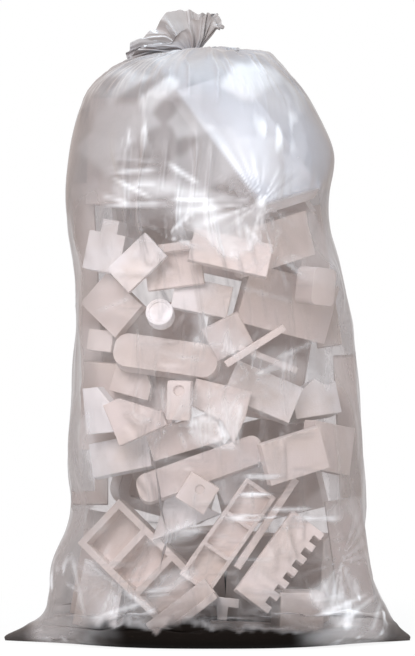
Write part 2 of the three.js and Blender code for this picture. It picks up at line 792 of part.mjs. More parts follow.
    shape: snappedSlab({ wide: 300, tall: 290, thick: 70, snapWide: 120, snapTall: 90 }),
    place: { side: "back", across: -0.42, height: 0.28, turn: 14, lean: 0, swing: -14 },
  },
  {
    name: "back_lower_shell",
    shape: shell({ wide: 280, tall: 260, thick: 110, radius: 50, wall: 30 }),
    place: { side: "back", across: 0.28, height: 0.28, turn: -16, lean: -3, swing: 14 },
  },
  {
    name: "back_middle_panel",
    shape: slab({ wide: 320, tall: 290, thick: 60 }),
    place: { side: "back", across: 0.38, height: 0.47, turn: 12, lean: -3, swing: 14 },
  },
  {
    name: "back_middle_guard",
    shape: edgeGuard({ wide: 300, tall: 270, thick: 110, wall: 40 }),
    place: { side: "back", across: -0.34, height: 0.49, turn: -10, lean: -3, swing: -8 },
  },
  {
    name: "back_upper_guard",
    shape: cornerGuard({ wide: 270, tall: 260, thick: 130, wall: 52 }),
    place: { side: "back", across: 0.35, height: 0.7, turn: 8, lean: -3, swing: 14 },
  },
  {
    name: "back_upper_panel",
    shape: brokenSlab({ wide: 310, tall: 290, thick: 60, bite: 60, bites: 9 }),
    place: { side: "back", across: -0.34, height: 0.67, turn: -12, lean: -4, swing: -12 },
  },
  {
    name: "back_top_block",
    shape: slab({ wide: 2 * (bodyHalfWidth - topFillClear), tall: 170, thick: 100 }),
    place: { side: "back", across: 0.1, height: 0.84, turn: 10, lean: -10, swing: 0 },
  },
  {
    name: "inner_panel",
    shape: slab({ wide: 270, tall: 250, thick: 36 }),
    place: { side: "front", across: -0.56, height: 0.41, turn: 4, lean: 4, swing: -14 },
  },
  {
    name: "white_wedge",
    shape: triangle({ wide: 190, tall: 95, thick: 40, tip: 70 }),
    place: { side: "front", across: 0.27, height: 0.27, turn: 168, lean: 10, swing: 4 },
  },
  {
    name: "shard",
    shape: triangle({ wide: 165, tall: 150, thick: 22, tip: 60 }),
    place: { side: "front", across: -0.17, height: 0.2, turn: 205, lean: -8, swing: -4 },
  },
  {
    name: "base_block",
    shape: slab({ wide: 210, tall: 52, thick: 90 }),
    place: { side: "front", across: 0.28, height: 0.022, turn: 2, lean: 0, swing: 0 },
  },
];

const foam = { color: 0xe9e7e4, roughness: 0.85, metalness: 0 };
const film = { color: 0xd9d6d6, roughness: 0.25, metalness: 0, transparent: true, opacity: 0.35 };

const bag = new THREE.Group();
bag.name = "gusseted_bag";

const room = toSolid(roomGeometry());
const settled = [];

// A piece is blocked where it would run into a piece already in place or leave the room inside the film.
function blocked(solid, box, shift) {
  const movedBox = box.clone().translate(shift);
  const moved = solid.translate(shift.toArray());
  const hits = (other) => other.box.intersectsBox(movedBox) && !moved.intersect(other.solid).isEmpty();
  return settled.some(hits) || !moved.subtract(room).isEmpty();
}

// The outermost free place along the way out of the bag, found by coarse steps inwards and then by halving.
function slideOut(solid, box, start, out, reach) {
  const shiftAt = (distance) => start.clone().addScaledVector(out, distance);
  for (let free = reach; free > -reach; free -= slideStep) {
    if (blocked(solid, box, shiftAt(free))) {
      continue;
    }
    let stop = free + slideStep;
    while (stop - free > slideTolerance) {
      const half = (free + stop) / 2;
      if (blocked(solid, box, shiftAt(half))) {
        stop = half;
      } else {
        free = half;
      }
    }
    return shiftAt(free - touchGap);
  }
  return null;
}

// The first place with room: at the piece's own offset and height, or else higher, lower and further in.
function findRoom(solid, box, offset, level, out, reach) {
  for (const share of insetShares) {
    const start = offset.clone().multiplyScalar(share);
    start.z = level;
    for (let tries = 1; tries * liftStep < shoulderHeight; tries++) {
      const shift = slideOut(solid, box, start, out, reach);
      if (shift) {
        return shift;
      }
      start.z += tries % 2 ? tries * liftStep : -tries * liftStep;
    }
  }
  return null;
}

for (const { name, shape, place } of contents) {
  const side = sides[place.side];
  const mesh = new THREE.Mesh(shape, new THREE.MeshStandardMaterial(foam));
  const [lean, turn, swing] = [place.lean, place.turn, place.swing].map(THREE.MathUtils.degToRad);
  mesh.name = name;
  mesh.rotation.set(lean, turn, swing + side.facing, "ZXY");
  mesh.updateMatrix();
  const turned = shape.clone().applyMatrix4(mesh.matrix);
  turned.computeBoundingBox();
  const box = turned.boundingBox;
  const solid = toSolid(turned);
  const out = new THREE.Vector3(0, -1, 0).applyAxisAngle(up, side.facing);
  const offset = new THREE.Vector3(place.across * side.half, 0, 0).applyAxisAngle(up, side.facing);
  const level = Math.max(place.height * shoulderHeight, filmWall + 2 * touchGap - box.min.z);
  const shift = findRoom(solid, box, offset, level, out, side.reach);
  mesh.position.copy(shift);
  settled.push({ solid: solid.translate(shift.toArray()), box: box.clone().translate(shift) });
  bag.add(mesh);
}

const filmSkin = drawnSkin(settled.map((piece) => piece.solid));
const filmMesh = new THREE.Mesh(filmGeometry(filmSkin), new THREE.MeshStandardMaterial(film));
filmMesh.name = "bag_film";
bag.add(filmMesh);

export default bag;
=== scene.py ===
import math
import bpy
import bmesh
import numpy as np
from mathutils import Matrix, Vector


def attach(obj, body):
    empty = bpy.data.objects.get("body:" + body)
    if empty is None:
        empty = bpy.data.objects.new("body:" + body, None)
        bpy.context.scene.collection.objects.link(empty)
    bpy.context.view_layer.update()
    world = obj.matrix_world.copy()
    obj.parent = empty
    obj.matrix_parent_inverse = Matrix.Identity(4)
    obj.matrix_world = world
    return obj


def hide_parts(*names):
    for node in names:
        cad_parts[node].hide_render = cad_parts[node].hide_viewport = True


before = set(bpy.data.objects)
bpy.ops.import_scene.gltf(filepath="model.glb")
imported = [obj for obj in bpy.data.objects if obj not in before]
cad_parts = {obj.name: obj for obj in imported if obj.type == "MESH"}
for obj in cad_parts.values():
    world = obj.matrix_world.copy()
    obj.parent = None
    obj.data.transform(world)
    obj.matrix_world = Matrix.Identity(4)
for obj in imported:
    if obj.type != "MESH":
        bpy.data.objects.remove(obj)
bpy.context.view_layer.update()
print("frame loaded:", len(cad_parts), "solids")


# Shader tools

class Wire:
    # a socket that can be used in sums: each operator adds one Math node to its tree
    def __init__(self, shader, socket):
        self.shader = shader
        self.socket = socket

    def step(self, operation, *values):
        return self.shader.node("ShaderNodeMath", {"operation": operation}, dict(enumerate(values)))

    def __add__(self, other):
        return self.step("ADD", self, other)

    __radd__ = __add__

    def __sub__(self, other):
        return self.step("SUBTRACT", self, other)

    def __rsub__(self, other):
        return self.step("SUBTRACT", other, self)

    def __mul__(self, other):
        return self.step("MULTIPLY", self, other)

    __rmul__ = __mul__

    def __truediv__(self, other):
        return self.step("DIVIDE", self, other)

    def __pow__(self, other):
        return self.step("POWER", self, other)

    def __abs__(self):
        return self.step("ABSOLUTE", self)

    def clip(self):
        return self.shader.node("ShaderNodeClamp", {}, {0: self})


class Shader:
    def __init__(self, name):
        self.material = bpy.data.materials.new(name)
        self.material.use_nodes = True
        self.tree = self.material.node_tree
        self.tree.nodes.clear()

    # one node: its type, its settings, then the values or links of its sockets by name or number
    def node(self, kind, settings, sockets, output=0):
        made = self.tree.nodes.new(kind)
        for key, value in settings.items():
            setattr(made, key, value)
        for key, value in sockets.items():
            if isinstance(value, Wire):
                self.tree.links.new(value.socket, made.inputs[key])
            else:
                made.inputs[key].default_value = value
        return Wire(self, made.outputs[output] if made.outputs else None)

    def place(self):
        return self.node("ShaderNodeTexCoord", {}, {}, output=3)

    def noise(self, place, scale, detail=2.0, roughness=0.5):
        sockets = {"Vector": place, "Scale": scale, "Detail": detail, "Roughness": roughness}
        return self.node("ShaderNodeTexNoise", {}, sockets)

    def blend(self, share, first, second):
        return self.node("ShaderNodeMix", {"data_type": "RGBA"}, {0: share, 6: first, 7: second}, output=2)

    def finish(self, surface):
        self.node("ShaderNodeOutputMaterial", {}, {0: surface})
        return self.material


def rgb(red, green, blue):
    return (red, green, blue, 1.0)


def smooth(low, high, values):
    # 0 below low and 1 above high, and between them three squares less two cubes of the share of the way
    share = np.clip((values - low) / (high - low), 0, 1)
    return share * share * (3 - 2 * share)


def between(start, full, fade, gone, values):
    # a smooth rise from start to full, and a smooth fall from fade to gone
    return smooth(start, full, values) * (1 - smooth(fade, gone, values))


def outlineShare(around):
    # 1 at the left and right outline, 0 over the middle of the front and the back: the cosine's fourth power
    return np.abs(np.cos(around)) ** 4


def latticeNoise(points, seed):
    # random values at the corners of unit cubes, blended smoothly across each cube
    cell = np.floor(points)
    t = points - cell
    t = t * t * (3 - 2 * t)
    total = 0.0
    for corner in np.ndindex(2, 2, 2):
        mixed = ((cell + corner) * (127.1, 311.7, 74.7)).sum(-1) + seed * 19.19
        value = np.mod(np.sin(mixed) * 43758.5453, 1.0)
        share = np.where(np.array(corner) == 1, t, 1 - t).prod(-1)
        total = total + value * share
    return total


def layeredNoise(points, layers, seed):
    # a sum of noises, each twice as fine and 0.6 times as strong as the one before, over its greatest value
    total = sum(latticeNoise(points * 2.0 ** i, seed + i) * 0.6 ** i for i in range(layers))
    return total / sum(0.6 ** i for i in range(layers))


# Foam scraps: copies of the solids, merged, with their edges rounded

foam = {
    "edgeRound": 0.0022,
    "edgeSteps": 2,
    "sharpFrom": math.radians(24),
    "tones": {"creamFoam": rgb(0.87, 0.81, 0.785),
              "greyFoam": rgb(0.79, 0.73, 0.71),
              "whiteAndLitFoam": rgb(0.95, 0.955, 0.97)},
    # whiter, bluer foam for these scraps: partly their own tone, partly painted light on the scraps that catch
    # the most light
    "whiteAndLitScraps": ["large_panel", "tabbed_block", "foam_puck", "leaf_slab", "pale_panel", "pale_slab",
               "white_slab", "white_wedge", "broken_block", "tee_scrap", "lower_left_slab", "shard",
               "left_offcut"],
    "dull": rgb(0.76, 0.69, 0.64),      # soft dull patches
    "mottleScale": 7.0,
    "mottleFrom": 0.42,
    "mottleGain": 3.0,
    "paintedShadeBrown": rgb(0.12, 0.09, 0.07),     # painted shade: low down in the middle, fading upwards and to both sides
    "shadeHeight": 0.13,
    "shadeFull": 1.25,
    "shadeMiddle": 0.08,
    "shadeWide": 1.6,
    "shadeFade": 5.0,
    "beadSize": 0.0045,
    "beadDepth": 0.0004,
    "beadStrength": 0.5,
    "roughness": 0.82,
}


def foamMaterial(name, colour):
    f = foam
    s = Shader(name)
    place = s.place()
    across = s.node("ShaderNodeSeparateXYZ", {}, {0: place}, output=0)
    height = s.node("ShaderNodeSeparateXYZ", {}, {0: place}, output=2)
    beads = s.node("ShaderNodeTexVoronoi", {}, {"Vector": place, "Scale": 1 / f["beadSize"]})
    mottle = s.noise(place, f["mottleScale"], 4.0)
    colour = s.blend(((mottle - f["mottleFrom"]) * f["mottleGain"]).clip(), colour, f["dull"])
    # painted shade: the foam turns dark brown low down in the middle, fading upwards and to both sides
    low = (f["shadeFull"] - height / f["shadeHeight"]).clip()
    low = low * (f["shadeWide"] - f["shadeFade"] * abs(across - f["shadeMiddle"])).clip()
    colour = s.blend(low, colour, f["paintedShadeBrown"])
    bump = s.node("ShaderNodeBump", {}, {
        "Strength": f["beadStrength"], "Distance": f["beadDepth"], "Height": beads})
    return s.finish(s.node("ShaderNodeBsdfPrincipled", {}, {
        "Base Color": colour, "Roughness": f["roughness"], "Normal": bump}))


def mergedCopy(node, name):
    mesh = node.data.copy()
    mesh.name = name
    work = bmesh.new()
    work.from_mesh(mesh)
    bmesh.ops.remove_doubles(work, verts=work.verts, dist=1e-5)
    bmesh.ops.dissolve_limit(work, angle_limit=math.radians(1), verts=work.verts, edges=work.edges)
    work.to_mesh(mesh)
    work.free()
    piece = bpy.data.objects.new(name, mesh)
    bpy.context.scene.collection.objects.link(piece)
    return piece


foamLooks = {name: foamMaterial(name, colour) for name, colour in foam["tones"].items()}
scraps = []
for name, node in sorted(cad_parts.items()):
    if name == "bag_film":
        continue
    piece = mergedCopy(node, name + "_foam")
    piece.data.materials.clear()
    plain = ["creamFoam", "greyFoam"][len(scraps) * 7 % 5 % 2]
    piece.data.materials.append(foamLooks["whiteAndLitFoam" if name in foam["whiteAndLitScraps"] else plain])
    rounding = piece.modifiers.new("rounding", "BEVEL")
    rounding.width = foam["edgeRound"]
    rounding.segments = foam["edgeSteps"]
    rounding.limit_method = "ANGLE"
    rounding.angle_limit = foam["sharpFrom"]
    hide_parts(name)
    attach(piece, "root")
    scraps.append(piece)
print("foam scraps:", len(scraps))


# Film: levels from the base to the mouth, as in the solids, in metres

film = {
    "sealLength": 1.150,
    "halfWidth": 0.400,
    "halfDepth": 0.345,
    "shoulder": 1.690,
    "shoulderTilt": 0.016,
    "tieDrop": 0.026,
    "tieAcross": -0.042,
    "tieRadius": 0.019,
    "tuftHeight": 0.056,
    "tuftLeft": 0.228,
    "tuftRight": 0.038,
    "tuftHalfDepth": 0.030,     # the ruffled mouth lies together, front on back
    "tuftTilt": 0.058,
    "tuftNod": 0.016,
    "tuftSpread": 0.6,
    "tuftDroop": 0.4,
    "hemWave": 0.013,
    "hemWaves": 5,
    "pleats": 12,
    "pleatShare": 0.35,     # the even pleats of the solid film are lower here
    "lumpDepth": 0.010,
    "lumpWaves": [(3, 0.095), (4, -0.130), (7, 0.060)],     # count round the bag, and length up it
    "fineLumps": 0.35,
    "gussetDent": 0.004,
    "gussetWidth": 0.12,
    "squareness": 0.74,
    "earSharpness": 12,
    "lastBody": 15,         # the highest level below the tie
    "columns": 304,
    "frontCrowd": 0.3,      # columns stand this share closer together over the front
    "baseRings": 5,
    "spanRows": [8, 8, 8] + [21] * 9 + [12, 12, 12, 10] + [14, 14],
    "flat": (1.3, 2.1),     # the tube laid flat in two layers, across by tall
}

fields = ["height", "left", "right", "deep", "ear", "point", "pleat", "lump", "tilt", "nod", "wave"]


def filmLevels():
    # one row a level: the body's in shares of the film's sizes, then the tie, the spread and the hem
    f = film
    sq = f["squareness"]
    t = f["shoulderTilt"]
    body = np.array([
        # height, left, right, deep, ear, point, pleat, lump, tilt
        [0, 1.05, 1.13, 0.98, 1, 1.5, 0, 0, 0],
        [0.009, 1.12, 1.22, 1.07, 0.97, 1.35, 0, 0, 0],
        [0.026, 1.14, 1.27, 1.12, 0.5, 1.1, 0, 0.2, 0],
        [0.055, 1.14, 1.28, 1.13, 0.06, 0.9, 0, 0.5, 0],
        [0.135, 1.11, 1.17, 1.08, 0, sq, 0, 1, 0],
        [0.222, 0.985, 1.135, 1.02, 0, sq, 0, 1, 0],
        [0.31, 1.015, 1.14, 1.01, 0, sq, 0, 1, 0],
        [0.42, 1.0, 1.075, 1.0, 0, sq, 0, 1, 0],
        [0.53, 0.945, 1.035, 0.99, 0, sq, 0, 1, 0],
        [0.63, 0.98, 0.96, 0.99, 0, sq, 0, 1, 0],
        [0.722, 1.03, 0.87, 0.98, 0, sq, 0, 1, 0],
        [0.82, 1.015, 0.905, 0.95, 0, sq, 0.006, 1, 0],
        [0.89, 0.925, 0.79, 0.87, 0, sq, 0.015, 0.7, 0],
        [0.935, 0.79, 0.63, 0.73, 0, sq, 0.03, 0.3, 0],
        [0.972, 0.6, 0.43, 0.5, 0, sq, 0.05, 0, t / 2],
        [0.99, 0.36, 0.24, 0.25, 0, sq, 0.08, 0, t],
    ])
    body = body * [f["shoulder"], f["halfWidth"], f["halfWidth"], f["halfDepth"], 1, 1, 1, 1, 1]
    body = np.hstack([body, np.zeros((len(body), 2))])
    tie = f["shoulder"] - f["tieDrop"]
    left = f["tieRadius"] - f["tieAcross"]
    right = f["tieRadius"] + f["tieAcross"]
    half = [(left + f["tuftLeft"]) / 2, (right + f["tuftRight"]) / 2,
            (f["tieRadius"] + f["tuftHalfDepth"]) / 2]
    middle = tie + f["tuftSpread"] * f["tuftHeight"]
    droop = f["tuftDroop"]
    neck = np.array([
        [tie, left, right, f["tieRadius"], 0, 1, 0.14, 0, 0, 0, 0],
        [middle, *half, 0, 1, 0.11, 0, droop * f["tuftTilt"], droop * f["tuftNod"], 0],
        [tie + f["tuftHeight"], f["tuftLeft"], f["tuftRight"], f["tuftHalfDepth"], 0, 1, 0.08, 0,
         f["tuftTilt"], f["tuftNod"], f["hemWave"]],
    ])
    return np.vstack([body, neck])


levels = filmLevels()


def levelAt(position):
    # a smooth curve through the levels: on each span a cubic with the slope of its two neighbours at each end
    table = np.vstack([2 * levels[0] - levels[1], levels, 2 * levels[-1] - levels[-2]])
    start = np.clip(np.floor(position).astype(int), 0, len(levels) - 2)
    t = (position - start)[..., None]
    a, b, c, d = (table[start + i] for i in range(4))
    values = b + t * ((c - a) / 2 + t * (a - 2.5 * b + 2 * c - d / 2 + t * (1.5 * (b - c) + (d - a) / 2)))
    return dict(zip(fields, np.moveaxis(values, -1, 0)))


def gatherOf(level, angle, pleatShare):
    # how far the outline swells and shrinks round the bag: pleats, lumps between the scraps, which are
    # the product of two waves and a share of a third, and the gusset folds
    f = film
    first, second, third = (np.sin(count * angle + level["height"] / long) for count, long in f["lumpWaves"])
    lumps = first * second + f["fineLumps"] * third
    gusset = np.exp(-((np.sin(angle) / f["gussetWidth"]) ** 2))
    sag = f["lumpDepth"] * lumps - f["gussetDent"] * gusset
    pleats = pleatShare * level["pleat"] * np.cos(f["pleats"] * angle)
    return 1 + pleats + level["lump"] * sag / f["halfWidth"]


def filmForm(level, angle):
    # a squared ellipse at each level with an ear at each end, its rim tilted and waved
    f = film
    along, depth = np.cos(angle), np.sin(angle)
    side = np.sign(along)
    middle = (level["right"] - level["left"]) / 2
    half = (level["right"] + level["left"]) / 2
    ear = level["ear"] * (f["sealLength"] / 2 - half - side * middle) * np.abs(along) ** f["earSharpness"]
    gather = gatherOf(level, angle, f["pleatShare"])
    x = middle + side * (half * gather * np.abs(along) ** f["squareness"] + ear)
    y = np.sign(depth) * level["deep"] * gather * np.abs(depth) ** level["point"]
    rise = level["tilt"] * along + level["nod"] * depth + level["wave"] * np.sin(f["hemWaves"] * angle)
    return np.stack([x, y, level["height"] + rise], axis=-1)


def columnAngles():
    # angles at even steps along the body's outline, closer together at the front
    f = film
    fine = np.linspace(-np.pi, 3 * np.pi, 8001)
    c, s = np.cos(fine), np.sin(fine)
    x = f["halfWidth"] * np.sign(c) * np.abs(c) ** f["squareness"]
    y = f["halfDepth"] * np.sign(s) * np.abs(s) ** f["squareness"]
    step = np.hypot(np.diff(x), np.diff(y)) * (1 - f["frontCrowd"] * (s[1:] + s[:-1]) / 2)
    run = np.concatenate([[0], np.cumsum(step)])
    turn = (run - np.interp(0, fine, run)) / (run[-1] - run[0]) * 4 * np.pi
    return fine, turn


fineAngle, fineTurn = columnAngles()


def filmGrid():
    # places along the levels, so many to each span, and angles round the bag
    f = film
    turn = np.arange(f["columns"]) * 2 * np.pi / f["columns"]
    angle = np.interp(turn, fineTurn, fineAngle)
    spans = [i + np.arange(n) / n for i, n in enumerate(f["spanRows"])]
    position = np.concatenate(spans + [[len(levels) - 1]])
    return position, angle


position, angle = filmGrid()
wholeAngle = np.repeat(angle[None, :], len(position), axis=0)
level = levelAt(np.repeat(position[:, None], len(angle), axis=1))
base = filmForm(level, wholeAngle)
print("film grid:", base.shape)


def readAt(grid, row, column):
    # a value between the four grid points round a place
    r0 = np.clip(row.astype(int), 0, grid.shape[0] - 2)
    c0 = column.astype(int) % grid.shape[1]
    c1 = (c0 + 1) % grid.shape[1]
    rt, ct = row - r0, column - np.floor(column)
    low = grid[r0, c0] * (1 - ct) + grid[r0, c1] * ct
    high = grid[r0 + 1, c0] * (1 - ct) + grid[r0 + 1, c1] * ct
    return low * (1 - rt) + high * rt


# What the film meets: the reach of the scraps, as a share of the level's own outline, on the film's grid

meet = {"spacing": 0.0035, "clearance": 0.0022, "seed": 5}


def cornersOf(mesh):
    corners = np.empty(len(mesh.vertices) * 3)
    mesh.vertices.foreach_get("co", corners)
    return corners.reshape(-1, 3)


def scrapPoints():
    # points drawn evenly over every face of every scrap, one for each square of the spacing
    draw = np.random.default_rng(meet["seed"])
    found = []
    for piece in scraps:
        mesh = piece.data
        mesh.calc_loop_triangles()
        faces = np.empty(len(mesh.loop_triangles) * 3, int)
        mesh.loop_triangles.foreach_get("vertices", faces)
        a, b, c = np.moveaxis(cornersOf(mesh)[faces.reshape(-1, 3)], 1, 0)
        area = np.linalg.norm(np.cross(b - a, c - a), axis=1) / 2
        count = np.ceil(area / meet["spacing"] ** 2).astype(int)
        which = np.repeat(np.arange(len(area)), count)
        u, v = draw.random((2, len(which), 1))
        flip = u + v > 1
        u, v = np.where(flip, 1 - u, u), np.where(flip, 1 - v, v)
        found.append(a[which] + u * (b - a)[which] + v * (c - a)[which])
    return np.concatenate(found)


bodyHeights = levelAt(position[position <= film["lastBody"]])["height"]


def planOf(points):
    # row, angle and reach of points: reach 1 lies on the level's outline, smaller ones on its scaled copies
    x, y, z = np.moveaxis(points, -1, 0)
    row = np.interp(z, bodyHeights, np.arange(len(bodyHeights)))
    at = levelAt(np.interp(row, np.arange(len(position)), position))
    middle = (at["right"] - at["left"]) / 2
    half = (at["right"] + at["left"]) / 2
    across = np.abs((x - middle) / half) ** (1 / film["squareness"]) * np.sign(x - middle)
    back = np.abs(y / at["deep"]) ** (1 / at["point"]) * np.sign(y)
    reach = np.hypot(across, back) ** film["squareness"]
    return row, np.arctan2(back, across), reach, middle


def columnOf(around):
    # place among the columns of an angle, from a quarter turn below zero upwards
    turn = np.interp(np.mod(around + np.pi / 2, 2 * np.pi) - np.pi / 2, fineAngle, fineTurn)
    return np.mod(turn / (2 * np.pi) * film["columns"], film["columns"])


def reachGrid():
    # the farthest reach of the scraps at each grid point and its eight neighbours, with the clearance
    row, around, reach, _ = planOf(scrapPoints())
    grid = np.zeros(base.shape[:2])
    rows = np.round(row).astype(int)
    columns = np.round(columnOf(around)).astype(int) % film["columns"]
    np.maximum.at(grid, (rows, columns), reach)
    wide = np.maximum(grid, np.maximum(np.roll(grid, 1, 1), np.roll(grid, -1, 1)))
    tall = wide.copy()
    tall[1:] = np.maximum(tall[1:], wide[:-1])
    tall[:-1] = np.maximum(tall[:-1], wide[1:])
    return tall + meet["clearance"] / film["halfDepth"]


reachMin = reachGrid()
print("film meets scraps on", int((reachMin > 0.97).sum()), "grid points")


# The draw of the solid film: how far each of its points stands in from the full outline

solidGrid = {"rowsPerSpan": 2, "columns": 60, "fromRow": 3, "toRow": film["lastBody"]}


def solidDraw():
    # each solid point's reach over the outline's own swell, set on the solid's grid and read on the finer one
    g = solidGrid
    row, around, reach, _ = planOf(cornersOf(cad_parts["bag_film"].data))
    place = np.interp(row, np.arange(len(position)), position)
    share = reach / gatherOf(levelAt(place), around, 1)
    rows = np.round(place * g["rowsPerSpan"]).astype(int)
    columns = np.round(np.mod(around / (2 * np.pi), 1) * g["columns"]).astype(int) % g["columns"]
    grid = np.zeros((g["toRow"] * g["rowsPerSpan"] + 1, g["columns"]))
    np.maximum.at(grid, (np.minimum(rows, len(grid) - 1), columns), share)
    grid[:g["fromRow"] * g["rowsPerSpan"]] = 1
    grid[-1] = 1
    fine, turn = np.broadcast_arrays(np.minimum(position * g["rowsPerSpan"], len(grid) - 1)[:, None],
                                     np.mod(angle / (2 * np.pi), 1)[None, :] * g["columns"])
    return np.minimum(readAt(grid, fine, turn), 1)


# Drape: the film sucked in on to the scraps, as a net of threads that keep their length

drape = {
    "firstRow": 1.3,        # levels between which the film is free to move
    "lastRow": 13.6,
    "easeLow": 1.0,         # and the spans over which it is let go at both ends
    "easeHigh": 1.4,
    "below": 0.011,         # how far the wrinkles go below and above the solid film
    "above": 0.008,
    "sideShare": 0.3,       # and the share of that at the left and right outline
    "slackRound": 0.010,    # spare length round the bag and up it
    "slackUp": 0.020,
    "passes": [(4, 420), (2, 220), (1, 110)],   # coarseness and sweeps of each pass
    "lookEvery": 5,         # sweeps from one look at the scraps to the next
    "push": 0.00012,        # inward push of a sweep, at the coarsest pass
    "sink": 0.00012,        # and downward, up to the shoulders
    "fade": 0.8,            # how much of both is gone by the last sweep
    "sinkTop": 1.45,
    "sinkEase": 0.25,
    "bend": 0.01,           # how firmly the film resists being folded
    "bendTop": 0.25,        # and more so over the shoulders and along the outline
    "firmFrom": 10.6,
    "firmFull": 12.0,
    "unrest": 0.09,         # unevenness the film starts with, and its length
    "waveLength": 0.08,
    "seed": 5,
    "creaseFrom": 0.05,
    "creaseGain": 2.5,
}


def hold(first, second, length):
    # moves both ends of each thread by half of what it is too long or too short
    line = second - first
    now = np.sqrt((line * line).sum(-1, keepdims=True)) + 1e-9
    move = line * ((now - length) / now * 0.5)
    first += move
    second -= move


def threadsOf(full):
    # threads round the bag, up it and across both ways: steps over rows and columns, and length with its slack
    d = drape
    threads = []
    for shiftRow, shiftColumn, slack in ((0, 1, d["slackRound"]), (1, 0, d["slackUp"]),
                                         (1, 1, d["slackUp"]), (1, -1, d["slackUp"])):
        other = np.roll(full, -shiftColumn, 1)
        line = other[1:] - full[:-1] if shiftRow else other - full
        length = np.linalg.norm(line, axis=-1, keepdims=True) * (1 + slack)
        threads.append((shiftRow, shiftColumn, length))
    return threads


def tightened(p, threads):
    # every thread gets its length back: of each kind, every second one first and then those between
    for shiftRow, shiftColumn, length in threads:
        for start in (0, 1):
            if shiftRow:
                second = np.roll(p, -shiftColumn, 1)[start + 1::2]
                hold(p[start:-1:2], second, length[start::2])
                p[start + 1::2] = np.roll(second, shiftColumn, 1)
            else:
                q = np.roll(p, -start, 1)
                hold(q[:, 0::2], q[:, 1::2], np.roll(length, -start, 1)[:, 0::2])
                p = np.roll(q, start, 1)
    return p


def drawIn(p, middle, share):
    # brings points closer to the middle of their level, to a share of their distance
    p[..., 0] = middle + (p[..., 0] - middle) * share
    p[..., 1] *= share


def spreadUp(field, rows, columns):
    # a field on a coarser grid read off on a finer one, straight between its points
    row, column = np.meshgrid(np.linspace(0, len(field) - 1, rows),
                              np.arange(columns) * field.shape[1] / columns, indexing="ij")
    return np.stack([readAt(part, row, column) for part in np.moveaxis(field, -1, 0)], axis=-1)


def draped():
    # from the solid film's form, with the full film's lengths as the lengths of the threads
    d = drape
    coarsest = d["passes"][0][0]
    middleRow = ((level["right"] - level["left"]) / 2)[:, :1]
    outline = np.hypot(base[..., 0] - middleRow, base[..., 1])
    drawn = solidDraw()
    solid = base.copy()
    drawIn(solid, middleRow, drawn)
    room = 1 + (d["sideShare"] - 1) * outlineShare(angle)
    held = outline / gatherOf(level, wholeAngle, film["pleatShare"]) * reachMin
    nearest = np.maximum(held, outline * drawn - d["below"] * room)
    farthest = np.maximum(np.minimum(outline * drawn + d["above"] * room, outline), nearest)
    free = between(d["firstRow"], d["firstRow"] + d["easeLow"],
                   d["lastRow"] - d["easeHigh"], d["lastRow"], position)
    low = int(np.searchsorted(position, d["firstRow"]))
    high = int(np.searchsorted(position, d["lastRow"]))
    high -= (high - low) % coarsest
    rows = np.arange(low, high + 1)
    moved = None
    for coarse, sweeps in d["passes"]:
        r, c = rows[::coarse], np.arange(film["columns"])[::coarse]
        still = solid[np.ix_(r, c)]
        threads = threadsOf(base[np.ix_(r, c)])
        loose = free[r][:, None, None]
        firm = np.maximum(smooth(d["firmFrom"], d["firmFull"], position[r])[:, None],
                          outlineShare(angle[c])[None, :])
        stiff = (d["bend"] + d["bendTop"] * firm)[..., None]
        if moved is None:
            waves = [layeredNoise(still / d["waveLength"], 2, d["seed"] + i) - 0.5 for i in range(3)]
            p = still + np.stack(waves, axis=-1) * d["unrest"] * loose
        else:
            p = still + spreadUp(moved, len(r), len(c))
        for sweep in range(sweeps):
            if sweep % d["lookEvery"] == 0:
                row, around, _, middle = planOf(p)
                column = columnOf(around)
                inner = readAt(nearest, row, column)
                outer = readAt(farthest, row, column)
            fade = 1 - d["fade"] * sweep / sweeps
            away = np.hypot(p[..., 0] - middle, p[..., 1])
            drawIn(p, middle, 1 - d["push"] * fade * (coarse / coarsest) / away)
            ease = 1 - smooth(d["sinkTop"] - d["sinkEase"], d["sinkTop"], p[..., 2])
            p[..., 2] -= d["sink"] * fade * (coarse / coarsest) * ease
            p = tightened(p, threads)
            bent = (np.roll(p, 1, 1) + np.roll(p, -1, 1)) / 2 - p
            bent[1:-1] += (p[2:] + p[:-2]) / 2 - p[1:-1]
            p += stiff * bent
            away = np.hypot(p[..., 0] - middle, p[..., 1])
            drawIn(p, middle, np.clip(away, inner, outer) / np.maximum(away, 1e-6))
            p = still + (p - still) * loose
        moved = p - still
        print("  drape pass", coarse, "moves up to %.0f mm" % (np.linalg.norm(moved, axis=-1).max() * 1000))
    shape = solid.copy()
    shape[rows] += moved
    return shape


def rowsBeside(shape):
    # the row above and the row below each one, at both ends the row itself
    return np.vstack([shape[1:], shape[-1:]]), np.vstack([shape[:1], shape[:-1]])


def normalsOf(shape):
    # outward direction at each point, square to the lines to its neighbours
    upper, lower = rowsBeside(shape)
    out = np.cross(np.roll(shape, -1, 1) - np.roll(shape, 1, 1), upper - lower)
    return out / (np.linalg.norm(out, axis=-1, keepdims=True) + 1e-9)


dome = {
    "levels": (11.4, 13.6, 15.3, 15.9),     # where the pleats from the tie start, are full, fade and end
    "depth": 0.008,
    "round": 5.0,           # how closely they lie round the tie
    "along": 0.35,          # and how often they change on the way down
    "foldFrom": 0.6,
    "seed": 21,
    "hump": 0.013,          # rise of the right shoulder: its levels, and where it starts across
    "humpLevels": (12.4, 14.4, 14.4, 15.0),
    "humpAcross": (0.02, 0.14),
    "rim": 0.014,           # drop of the rim round the tie
    "rimLevels": (14.5, 14.95, 15.1, 15.9),
    "rimAcross": (0.02, 0.08),
}


